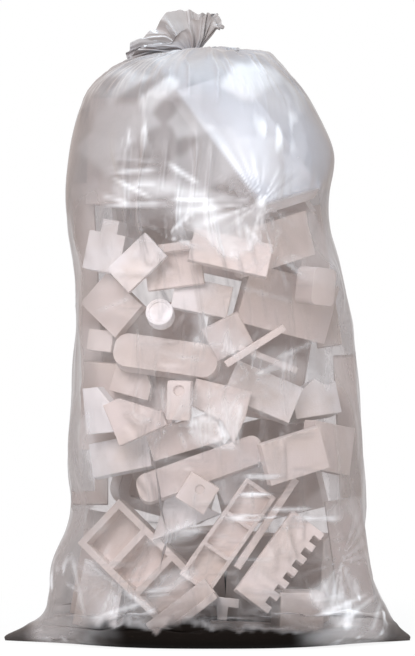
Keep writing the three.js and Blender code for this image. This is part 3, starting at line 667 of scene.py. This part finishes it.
def pleated(shape):
    # folds from the tie over the shoulders: noise drawn out along the levels, raised square to the film
    d = dome
    x, row = shape[..., 0], position[:, None]
    place = np.stack(np.broadcast_arrays(d["round"] * np.cos(angle), d["round"] * np.sin(angle),
                                         d["along"] * row), axis=-1)
    fold = 1 - np.abs(2 * layeredNoise(place + 20, 3, d["seed"]) - 1)
    fold = np.clip((fold - d["foldFrom"]) / (1 - d["foldFrom"]), 0, 1) ** 2
    made = shape + normalsOf(shape) * (between(*d["levels"], row) * d["depth"] * fold)[..., None]
    hump = between(*d["humpLevels"], row) * smooth(*d["humpAcross"], x)
    rim = between(*d["rimLevels"], row) * smooth(*d["rimAcross"], x)
    made[..., 2] += d["hump"] * hump - d["rim"] * rim
    return made


tuft = {
    "from": 15.4,           # the level from which the gathered film is ruffled
    "full": 17.0,
    "waves": [(13, 0.005), (19, 0.004), (29, 0.003), (43, 0.002)],  # count round the mouth and depth of each
    "lean": 0.5,
    "hem": 0.6,             # share of that depth up and down
    "seed": 11,
    "liftLevels": (16.0, 18.0),     # the hem's rise over the tuft, by the place across
    "liftAcross": [-0.240, -0.190, -0.140, -0.115, -0.070, -0.020, 0.015, 0.035],
    "lift": [-0.012, 0.016, 0.024, 0.038, 0.034, 0.030, 0.010, -0.026],
    "liftFront": (-0.11, -0.07),    # left of this only the back of the mouth rises
}


def ruffled(shape):
    # waves of several counts round the tuft, each with its own turn, that grow towards the mouth
    draw = np.random.default_rng(tuft["seed"])
    share = smooth(tuft["from"], tuft["full"], position)[:, None]
    out = normalsOf(shape)
    made = shape.copy()
    back = smooth(-0.5, 0.5, np.sin(angle))
    above = smooth(*tuft["liftLevels"], position)[:, None]
    above = above * np.maximum(smooth(*tuft["liftFront"], shape[..., 0]), back)
    made[..., 2] += above * np.interp(shape[..., 0], tuft["liftAcross"], tuft["lift"])
    for count, depth in tuft["waves"]:
        first, second, slant = draw.random(3) * 2 * np.pi
        climb = (position - tuft["from"])[:, None] * (slant - np.pi) * tuft["lean"]
        made += (share * depth * np.sin(count * angle[None, :] + first + climb))[..., None] * out
        made[..., 2] += share * tuft["hem"] * depth * np.sin((count - 2) * angle[None, :] + second + climb)
    return made


# Marks on the film, worked out at its points

# points where the film is drawn tight over a corner: place and reach of the rays, which are painted highlight
# on a slight lift of the film
stars = [
    ((0.154, -0.33, 1.243), 0.16),
    ((0.190, -0.33, 1.100), 0.15),
    ((-0.120, -0.34, 1.150), 0.13),
    ((0.347, -0.22, 0.241), 0.20),
    ((-0.250, -0.33, 0.180), 0.18),
    ((-0.110, -0.34, 0.620), 0.16),
    ((0.120, -0.34, 0.760), 0.15),
    ((0.100, 0.33, 1.150), 0.22),
    ((-0.150, 0.34, 0.700), 0.20),
    ((0.230, 0.30, 0.420), 0.18),
    ((0.380, 0.05, 0.900), 0.18),
    ((-0.380, 0.05, 0.950), 0.18),
]

# painted glints out of the large panel's lower corner: direction in degrees up from the right, half width,
# reach, strength
cornerPlace = (0.154, -0.33, 1.243)
cornerRays = [
    (124, 5, 0.32, 0.7),
    (112, 4, 0.20, 0.6),
    (100, 5, 0.16, 0.9),
    (85, 4, 0.14, 0.7),
    (62, 5, 0.13, 0.9),
    (48, 5, 0.11, 0.8),
    (18, 3, 0.20, 0.5),
    (172, 9, 0.46, 0.45),
    (186, 5, 0.36, 0.65),
    (200, 6, 0.28, 0.45),
    (216, 5, 0.14, 0.4),
    (300, 9, 0.12, 0.4),
    (325, 7, 0.13, 0.35),
]

# patches of fine straight wrinkles, mostly painted highlight on a slight relief: place, reach, how closely
# they lie along each direction, strength
streakGlints = [
    ((-0.210, -0.30, 1.265), 0.13, (6, 6, 80), 0.4),
    ((-0.200, -0.28, 1.470), 0.11, (50, 30, 8), 0.25),
    ((0.160, -0.33, 0.385), 0.15, (8, 8, 60), 0.7),
    ((0.225, -0.26, 1.475), 0.11, (34, 24, 9), 0.7),
    ((0.420, -0.15, 0.060), 0.16, (40, 24, 12), 0.8),
    ((-0.440, -0.15, 0.120), 0.16, (40, 24, 12), 0.8),
    ((0.000, 0.32, 1.400), 0.25, (34, 28, 8), 0.5),
]

# single straight creases over the front, mostly painted highlight on a slight relief: both ends across and up,
# strength
creaseGlints = [
    (-0.287, 1.328, -0.125, 1.337, 0.6),
    (-0.284, 1.325, -0.136, 1.246, 0.6),
    (-0.227, 1.297, -0.125, 1.297, 0.5),
    (-0.142, 1.257, 0.142, 1.246, 0.6),
    (-0.125, 1.365, -0.009, 1.286, 0.5),
    (-0.306, 1.269, -0.210, 1.240, 0.5),
    (0.142, 0.388, 0.318, 0.388, 0.8),
    (0.241, 0.366, 0.386, 0.357, 0.7),
    (0.264, 0.077, 0.482, 0.153, 0.6),
    (0.352, 0.057, 0.491, 0.148, 0.6),
    (0.394, 0.111, 0.386, 0.043, 0.6),
    (0.457, 0.028, 0.491, 0.125, 0.6),
    (-0.386, 0.278, -0.338, 0.057, 0.6),
    (-0.338, 0.077, -0.145, 0.139, 0.5),
    (-0.372, 0.264, -0.116, 0.077, 0.5),
    (-0.411, 0.182, -0.338, 0.139, 0.5),
    (-0.082, 0.616, -0.054, 0.548, 0.6),
    (0.028, 0.630, 0.048, 0.582, 0.6),
    (-0.330, 0.930, -0.190, 0.990, 0.4),
    (0.060, 1.020, 0.260, 0.960, 0.4),
    (-0.150, 0.830, 0.020, 0.800, 0.4),
    (0.170, 0.800, 0.330, 0.870, 0.4),
]

marks = {
    "rayScale": 5.5,
    "rayFrom": 0.52,        # noise from which a ray of a star shows, and how fast it brightens
    "rayGain": 6,
    "rayShare": 0.4,
    "raySeed": 40,
    "rayLift": 0.0015,      # how far rays and wrinkles stand out of the film
    "tent": 0.006,          # and the film at the middle of a star
    "spot": 0.022,          # painted bright spot at the panel's corner
    "creaseWidth": 0.0115,
    "creaseShare": 0.8,
    "creaseEnds": 0.3,
    "streakFrom": 0.58,     # as for the rays
    "streakGain": 8,
    "streakSeed": 70,
    "facets": 420,          # flat bits between the wrinkles, each with a painted sheen of its own
    "facetTall": 1.5,
    "facetSeed": 31,
    "facetBatch": 4000,     # points looked at together
}


def starGlint(shape):
    # painted highlight: rays out of the film's point nearest each place, a sharpened noise of the direction
    # from it in the film's own plane, fading with the distance
    rays, tent = np.zeros(shape.shape[:2]), np.zeros(shape.shape[:2])
    for i, (place, reach) in enumerate(stars):
        gap = np.linalg.norm(shape - place, axis=-1)
        centre = shape[np.unravel_index(gap.argmin(), gap.shape)]
        away = shape - centre
        far = np.linalg.norm(away, axis=-1)
        near = np.clip(1 - far / reach, 0, 1)
        away[..., 1 if abs(place[1]) > 0.2 else 0] = 0      # flat to the front or the back, else to a side
        toward = away / (np.linalg.norm(away, axis=-1, keepdims=True) + 1e-6) * marks["rayScale"]
        found = layeredNoise(toward + 20, 3, marks["raySeed"] + i)
        ray = np.clip((found - marks["rayFrom"]) * marks["rayGain"], 0, 1)
        rays += marks["rayShare"] * ray * near
        tent += near ** 2
    return np.clip(rays, 0, 1), tent


def cornerGlint(shape):
    # painted highlight: wedges that narrow to one point of the film's front, each fading along its own reach
    gap = np.linalg.norm(shape - cornerPlace, axis=-1)
    away = shape - shape[np.unravel_index(gap.argmin(), gap.shape)]
    turn = np.degrees(np.arctan2(away[..., 2], away[..., 0]))
    far = np.linalg.norm(away, axis=-1)
    light = np.clip(1 - far / marks["spot"], 0, 1)
    for toward, half, reach, strength in cornerRays:
        off = np.abs(np.mod(turn - toward + 180, 360) - 180)
        light = np.maximum(light, strength * np.clip(1 - off / half, 0, 1) * np.clip(1 - far / reach, 0, 1))
    return light


def creaseGlint(shape):
    # painted highlight: straight lines over the front half, each thinning out towards its ends
    m = marks
    x, y, z = np.moveaxis(shape, -1, 0)
    light = np.zeros(x.shape)
    for x1, z1, x2, z2, strength in creaseGlints:
        run, rise = x2 - x1, z2 - z1
        long = math.hypot(run, rise)
        along = ((x - x1) * run + (z - z1) * rise) / long ** 2
        off = np.abs((x - x1) * rise - (z - z1) * run) / long
        line = np.clip(1 - off / m["creaseWidth"], 0, 1)
        line = line * between(0, m["creaseEnds"], 1 - m["creaseEnds"], 1, along)
        light = np.maximum(light, m["creaseShare"] * strength * line * (y < 0))
    return light


def streakGlint(shape):
    # painted highlight: noise drawn out along one direction, inside a soft ball round each place
    lines = np.zeros(shape.shape[:2])
    for i, (centre, reach, stretch, strength) in enumerate(streakGlints):
        near = np.clip(1 - np.linalg.norm(shape - centre, axis=-1) / reach, 0, 1)
        found = layeredNoise(shape * stretch, 2, marks["streakSeed"] + i)
        line = np.clip((found - marks["streakFrom"]) * marks["streakGain"], 0, 1)
        lines += strength * line * np.minimum(near * 2, 1)
    return np.clip(lines, 0, 1)


# milky film over the top: partly the film's own haze, partly painted shade that greys the top darkest left of
# the large panel's long edge
milky = {
    "from": 1.05,           # heights between which the milky film grows, and its share left of the large panel
    "full": 1.45,
    "left": 0.60,
    "right": 0.30,          # on the panel
    "dome": 0.50,           # over the shoulders
    "domeHeights": (1.55, 1.64),
    "tuft": 0.85,
    "tuftLevels": (15.4, 16.2),
    "side": 0.12,           # along the outline below
    "sideHeights": (1.2, 1.5),
    "patchSize": 0.16,
    "patchLeast": 0.7,
    "patchMore": 0.6,
    "seed": 60,
    "edgeTurn": math.radians(53),   # slopes of the panel's edges, and how softly the veil ends there
    "lowerSlope": 0.233,
    "edgeSoft": 0.012,
    "edgeSoftBack": 0.28,   # and towards the back
    "backFrom": (-0.12, 0.2),
    "tintLoss": 0.6,        # the sky's blue thins between these heights
    "tintHeights": (1.50, 1.62),
}


def panelSoft(shape):
    # how softly the veil ends at the large panel's edges: narrow at the front, wide towards the back
    m = milky
    return m["edgeSoft"] + m["edgeSoftBack"] * smooth(*m["backFrom"], shape[..., 1])


def panelSide(shape):
    # 0 to the left of the large panel's long edge, 1 to the right of it
    turn = milky["edgeTurn"]
    run, rise = shape[..., 0] - cornerPlace[0], shape[..., 2] - cornerPlace[2]
    off = run * math.sin(turn) + rise * math.cos(turn)
    return smooth(-panelSoft(shape), panelSoft(shape), off)


def panelRise(shape):
    # 0 below the large panel's lower edge, 1 above it
    rise = shape[..., 2] - cornerPlace[2] - milky["lowerSlope"] * (shape[..., 0] - cornerPlace[0])
    return smooth(-panelSoft(shape), panelSoft(shape), rise)


def milkAndShadeOf(shape):
    # milky film, partly its own haze and partly painted shade: thick at the tuft, thinner over the shoulders,
    # in soft patches below, darkest left of the large panel's long edge
    m = milky
    z = shape[..., 2]
    right = panelSide(shape)
    top = m["left"] * smooth(m["from"], m["full"], z) * (1 - right) + m["right"] * right * panelRise(shape)
    top = top + (m["dome"] - top) * smooth(*m["domeHeights"], z)
    patch = layeredNoise(shape / m["patchSize"], 3, m["seed"])
    side = m["side"] * outlineShare(angle) * (1 - smooth(*m["sideHeights"], z))
    milkAndShade = top * (m["patchLeast"] + m["patchMore"] * patch) + side
    return np.maximum(milkAndShade, m["tuft"] * smooth(*m["tuftLevels"], position)[:, None])


def paintedSkyOf(shape):
    # blue of the sky on the right of the top
    thin = milky["tintLoss"] * smooth(*milky["tintHeights"], shape[..., 2])
    return panelSide(shape) * panelRise(shape) * (1 - thin)


def sheenOf(shape):
    # painted sheen: every point takes the sheen of the nearest of many seeds on the film, few of them bright
    m = marks
    draw = np.random.default_rng(m["facetSeed"])
    scaled = shape.reshape(-1, 3) * (1, 1, m["facetTall"])
    seeds = scaled[draw.choice(len(scaled), m["facets"], replace=False)]
    bright = draw.random(m["facets"]) ** 3
    nearest = np.empty(len(scaled), int)
    for start in range(0, len(scaled), m["facetBatch"]):
        batch = slice(start, start + m["facetBatch"])
        gap = scaled[batch, None] - seeds[None]
        nearest[batch] = (gap * gap).sum(-1).argmin(1)
    value = bright[nearest].reshape(shape.shape[:2])
    for _ in range(2):
        value = (2 * value + np.roll(value, 1, 1) + np.roll(value, -1, 1)) / 4
        value[1:-1] = (2 * value[1:-1] + value[2:] + value[:-2]) / 4
    return value * (1 - outlineShare(angle))


# painted shade along the base: the film turns near black low down, standing in for the shadow inside the bag
paintedBaseShade = {
    "front": 0.072,         # height over the floor at the front and at the back
    "back": 0.18,
    "turn": (-0.05, 0.1),
    "heightLeast": 0.35,    # uneven along the floor
    "heightMore": 1.5,
    "heightScale": (14, 14, 0),
    "heightSeed": 95,
    "patchLeast": 0.55,
    "patchMore": 0.9,
    "patchScale": 9,
    "patchSeed": 90,
    "gain": 3.2,
    "half": 0.33,           # half of its length, and how softly it ends
    "ends": 0.10,
    "ears": 0.75,           # thinner on the ears
    "earAcross": (0.47, 0.53),
}


def baseShadeOf(shape):
    # painted shade along the base, where the inside of the bag is in shadow: dark film that fades upwards,
    # higher at the back, thin towards the two ends and weaker on the ears
    g = paintedBaseShade
    x, y, z = np.moveaxis(shape, -1, 0)
    uneven = layeredNoise(shape * g["heightScale"] + 7, 3, g["heightSeed"])
    high = g["front"] + (g["back"] - g["front"]) * smooth(*g["turn"], y)
    high = high * (g["heightLeast"] + g["heightMore"] * uneven)
    patchy = g["patchLeast"] + g["patchMore"] * layeredNoise(shape * g["patchScale"], 3, g["patchSeed"])
    reach = np.abs(x) + g["ends"] * (patchy - 1)
    ends = 1 - smooth(g["half"] - g["ends"], g["half"] + g["ends"], reach)
    ears = g["ears"] * smooth(*g["earAcross"], np.abs(x)) * patchy
    return np.clip(g["gain"] * (1 - z / high) * patchy, 0, 1) * np.maximum(ends, ears)


def creaseOf(shape):
    # how sharply the film bends at each point: how far the middle of two neighbours lies off the surface,
    # as a share of their distance
    upper, lower = rowsBeside(shape)
    left, right = np.roll(shape, 1, 1), np.roll(shape, -1, 1)
    normal = normalsOf(shape)
    around = np.linalg.norm(right - left, axis=-1) / 2 + 1e-6
    along = np.linalg.norm(upper - lower, axis=-1) / 2 + 1e-6
    bendAround = np.abs((((left + right) / 2 - shape) * normal).sum(-1)) / around
    bendAlong = np.abs((((upper + lower) / 2 - shape) * normal).sum(-1)) / along
    return np.clip((np.maximum(bendAround, bendAlong) - drape["creaseFrom"]) * drape["creaseGain"], 0, 1)


shape = ruffled(pleated(draped()))
# glints: painted highlight in the film's colour, which also raises the film slightly along its lines
rays, tent = starGlint(shape)
glint = np.maximum(np.maximum(rays, cornerGlint(shape)), creaseGlint(shape))
glint = np.clip(glint + streakGlint(shape), 0, 1)
shape += normalsOf(shape) * (glint * marks["rayLift"] + tent * marks["tent"])[..., None]
shape[..., 2] = np.maximum(shape[..., 2], 0)
crease = creaseOf(shape)
filmMarks = {"crease": crease, "glint": glint, "sheen": sheenOf(shape), "baseShade": baseShadeOf(shape),
             "milkAndShade": milkAndShadeOf(shape), "paintedSky": paintedSkyOf(shape)}
print("film draped, mean crease %.2f" % crease.mean())


def gridMesh(name, shape, values, rings):
    # closed rows from a middle point of the base up to the open mouth
    rows, columns = shape.shape[:2]
    centre = np.array([[0.0, 0.0, shape[0, :, 2].min()]])
    shares = (np.arange(1, rings) / rings)[:, None, None]
    floor = centre + shares * (shape[0][None] - centre)
    points = np.concatenate([centre, floor.reshape(-1, 3), shape.reshape(-1, 3)])
    count = rows + rings - 1
    i = np.arange(count - 1)[:, None] * columns + 1
    j = np.arange(columns)[None, :]
    k = (j + 1) % columns
    quads = np.stack([i + j, i + k, i + columns + k, i + columns + j], axis=-1).reshape(-1, 4)
    fan = np.stack([np.zeros(columns, int), 1 + k[0], 1 + j[0]], axis=-1)
    mesh = bpy.data.meshes.new(name)
    mesh.from_pydata(points, [], fan.tolist() + quads.tolist())
    mesh.polygons.foreach_set("use_smooth", np.ones(len(mesh.polygons), bool))
    for key, value in values.items():
        whole = np.concatenate([np.repeat(value[0].mean(), 1 + (rings - 1) * columns), value.ravel()])
        mesh.attributes.new(key, "FLOAT", "POINT").data.foreach_set("value", whole)
    mesh.update()
    piece = bpy.data.objects.new(name, mesh)
    bpy.context.scene.collection.objects.link(piece)
    return piece


filmLook = {
    "clear": rgb(0.84, 0.815, 0.818),
    "milk": rgb(0.225, 0.21, 0.212),
    "edge": rgb(0.33, 0.28, 0.26),
    # painted sky light: the blue the milky film takes where the sky lights it
    "paintedSkyBlue": rgb(0.42, 0.47, 0.55),
    "milkTuft": rgb(0.29, 0.268, 0.262),    # from this height upwards
    "tuftHeight": 1.67,
    "tuftEase": 0.04,
    # painted highlight and painted sheen: the white the film takes along glints and on bright facets
    "bright": rgb(0.80, 0.81, 0.84),
    "paintedBaseShade": rgb(0.008, 0.006, 0.005),
    "baseShadeDull": 0.9,       # share of the gloss that the painted shade along the base takes away
    "haze": 0.03,
    "edgeHaze": 0.75,
    "edgeBlend": 0.25,
    "edgePower": 1.2,
    "edgeGain": 2.0,
    "creaseHaze": 0.25,
    "creaseLeast": 0.3,
    "sheenHaze": 0.30,
    "glintHaze": 0.8,
    "crinkleScale": 30.0,   # fine unevenness, in the surface only
    "crinkleStrength": 0.30,
    "crinkleDepth": 0.004,
    "ior": 1.4,
    "shine": 0.45,
    "gloss": rgb(0.95, 0.97, 1.0),
    "glossRoughness": 0.30,
    "milkRoughness": 0.45,
}


def filmMaterial():
    # clear film that turns milky by a share, with a thin gloss over both
    v = filmLook
    s = Shader("clearFilm")
    place = s.place()
    height = s.node("ShaderNodeSeparateXYZ", {}, {0: place}, output=2)
    crease, glint, sheen, baseShade, milkAndShade, paintedSky = (
        s.node("ShaderNodeAttribute", {"attribute_name": key}, {}, output=2)
        for key in ("crease", "glint", "sheen", "baseShade", "milkAndShade", "paintedSky"))
    crinkle = s.noise(place, v["crinkleScale"], 3.0, 0.6)
    bump = s.node("ShaderNodeBump", {}, {
        "Strength": v["crinkleStrength"], "Distance": v["crinkleDepth"], "Height": crinkle})
    facing = s.node("ShaderNodeLayerWeight", {}, {"Blend": v["edgeBlend"], "Normal": bump}, output=1)
    haze = v["haze"] + v["edgeHaze"] * facing ** v["edgePower"]
    haze = haze + v["creaseHaze"] * crease * (v["creaseLeast"] + crinkle)
    haze = (haze + milkAndShade + sheen * (1.0 - milkAndShade) * v["sheenHaze"] + glint * v["glintHaze"] + baseShade).clip()
    shine = s.node("ShaderNodeFresnel", {}, {"IOR": v["ior"], "Normal": bump})
    # the painted shade along the base also dulls the gloss
    shine = shine * v["shine"] * (1.0 - v["baseShadeDull"] * baseShade)
    clear = s.node("ShaderNodeBsdfTransparent", {}, {"Color": v["clear"]})
    # painted sky light: the milky film turns blue over the large panel and above it, fading towards the top
    colour = s.blend(paintedSky, v["milk"], v["paintedSkyBlue"])
    colour = s.blend(((height - v["tuftHeight"]) / v["tuftEase"]).clip(), colour, v["milkTuft"])
    colour = s.blend((facing * v["edgeGain"]).clip(), colour, v["edge"])
    # painted highlight and painted sheen turn the film white
    colour = s.blend((glint + sheen * (1.0 - milkAndShade)).clip(), colour, v["bright"])
    # painted shade: near-black film along the base
    colour = s.blend(baseShade, colour, v["paintedBaseShade"])
    milk = s.node("ShaderNodeBsdfPrincipled", {}, {
        "Base Color": colour, "Roughness": v["milkRoughness"], "Specular IOR Level": 0.0, "Normal": bump})
    gloss = s.node("ShaderNodeBsdfGlossy", {}, {
        "Color": v["gloss"], "Roughness": v["glossRoughness"], "Normal": bump})
    body = s.node("ShaderNodeMixShader", {}, {0: haze, 1: clear, 2: milk})
    return s.finish(s.node("ShaderNodeMixShader", {}, {0: shine, 1: body, 2: gloss}))


bagFilm = gridMesh("clear_bag_film", shape, filmMarks, film["baseRings"])
bagFilm.data.materials.append(filmMaterial())
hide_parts("bag_film")
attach(bagFilm, "root")
print("film:", len(bagFilm.data.polygons), "faces")


# Floor, light and camera

studio = {
    "floorColour": rgb(0.9, 0.9, 0.9),
    "floorRadius": 9.0,
    "floorSides": 96,
    "floorDrop": 0.0005,
    "floorWhite": 0.85,     # how much of the floor near the bag is plain white to the eye
    "whiteFrom": 0.7,       # and all of it farther off
    "whiteEase": 1.3,
    "worldColour": rgb(1.0, 0.95, 0.91),
    "worldStrength": 0.60,
    "target": (0.0, 0.0, 0.887),
    "distance": 20.0,
    "elevation": 1.5,
    "lens": 387.0,
    "sensor": 36.0,
}

# place, aim, size, watts and colour of each lamp
lamps = {
    "overhead": ((0.4, -0.6, 4.2), (0, 0, 1.2), (2.4, 2.4), 92, (0.66, 0.86, 1.0)),
    "frontFill": ((-1.6, -4.4, 3.6), (0, 0, 1.5), (2.4, 2.4), 235, (1.0, 0.965, 0.97)),
    "rightFill": ((4.0, -2.5, 1.8), (0, 0, 0.8), (2.0, 3.0), 35, (1.0, 0.90, 0.84)),
}


def areaLight(name, place, aim, size, energy, colour):
    light = bpy.data.lights.new(name, "AREA")
    light.shape = "RECTANGLE"
    light.size, light.size_y = size
    light.energy = energy
    light.color = colour
    lamp = bpy.data.objects.new(name, light)
    lamp.location = place
    lamp.rotation_euler = (Vector(aim) - Vector(place)).to_track_quat("-Z", "Y").to_euler()
    bpy.context.scene.collection.objects.link(lamp)


def studioWorld():
    world = bpy.data.worlds.new("studio")
    world.use_nodes = True
    tree = world.node_tree
    tree.nodes.clear()
    path = tree.nodes.new("ShaderNodeLightPath")
    seen = tree.nodes.new("ShaderNodeMath")
    seen.operation = "MAXIMUM"
    tree.links.new(path.outputs["Is Camera Ray"], seen.inputs[0])
    tree.links.new(path.outputs["Is Glossy Ray"], seen.inputs[1])
    light = tree.nodes.new("ShaderNodeBackground")
    light.inputs["Color"].default_value = studio["worldColour"]
    light.inputs["Strength"].default_value = studio["worldStrength"]
    white = tree.nodes.new("ShaderNodeBackground")
    white.inputs["Color"].default_value = rgb(1, 1, 1)
    mix = tree.nodes.new("ShaderNodeMixShader")
    tree.links.new(seen.outputs[0], mix.inputs[0])
    tree.links.new(light.outputs[0], mix.inputs[1])
    tree.links.new(white.outputs[0], mix.inputs[2])
    out = tree.nodes.new("ShaderNodeOutputWorld")
    tree.links.new(mix.outputs[0], out.inputs[0])
    bpy.context.scene.world = world


def floorPiece():
    # a wide flat disc under the bag
    v = studio
    turn = np.linspace(0, 2 * np.pi, v["floorSides"], endpoint=False)
    rim = np.stack([v["floorRadius"] * np.cos(turn), v["floorRadius"] * np.sin(turn),
                    np.full(v["floorSides"], -v["floorDrop"])], axis=-1)
    mesh = bpy.data.meshes.new("floor")
    mesh.from_pydata(rim, [], [list(range(v["floorSides"]))])
    mesh.update()
    floor = bpy.data.objects.new("floor", mesh)
    bpy.context.scene.collection.objects.link(floor)
    s = Shader("paleFloor")
    camera = s.node("ShaderNodeLightPath", {}, {}, output=0)
    mirrored = s.node("ShaderNodeLightPath", {}, {}, output=3)
    seen = (camera + mirrored).clip()
    away = s.node("ShaderNodeVectorMath", {"operation": "LENGTH"}, {0: s.place()}, output=1)
    share = v["floorWhite"] + (1 - v["floorWhite"]) * ((away - v["whiteFrom"]) / v["whiteEase"]).clip()
    matt = s.node("ShaderNodeBsdfDiffuse", {}, {"Color": v["floorColour"]})
    white = s.node("ShaderNodeEmission", {}, {"Color": rgb(1, 1, 1), "Strength": 1.0})
    mesh.materials.append(s.finish(s.node("ShaderNodeMixShader", {}, {0: seen * share, 1: matt, 2: white})))


studioWorld()
floorPiece()
for name, values in lamps.items():
    areaLight(name, *values)

camera = bpy.data.cameras.new("camera")
camera.lens = studio["lens"]
camera.sensor_fit = "VERTICAL"
camera.sensor_height = studio["sensor"]
eye = bpy.data.objects.new("camera", camera)
tip = math.radians(studio["elevation"])
eye.location = Vector(studio["target"]) + studio["distance"] * Vector((0, -math.cos(tip), math.sin(tip)))
eye.rotation_euler = (math.pi / 2 - tip, 0, 0)
bpy.context.scene.collection.objects.link(eye)
bpy.context.scene.camera = eye
bpy.context.scene.view_settings.view_transform = "Standard"
print("studio ready")
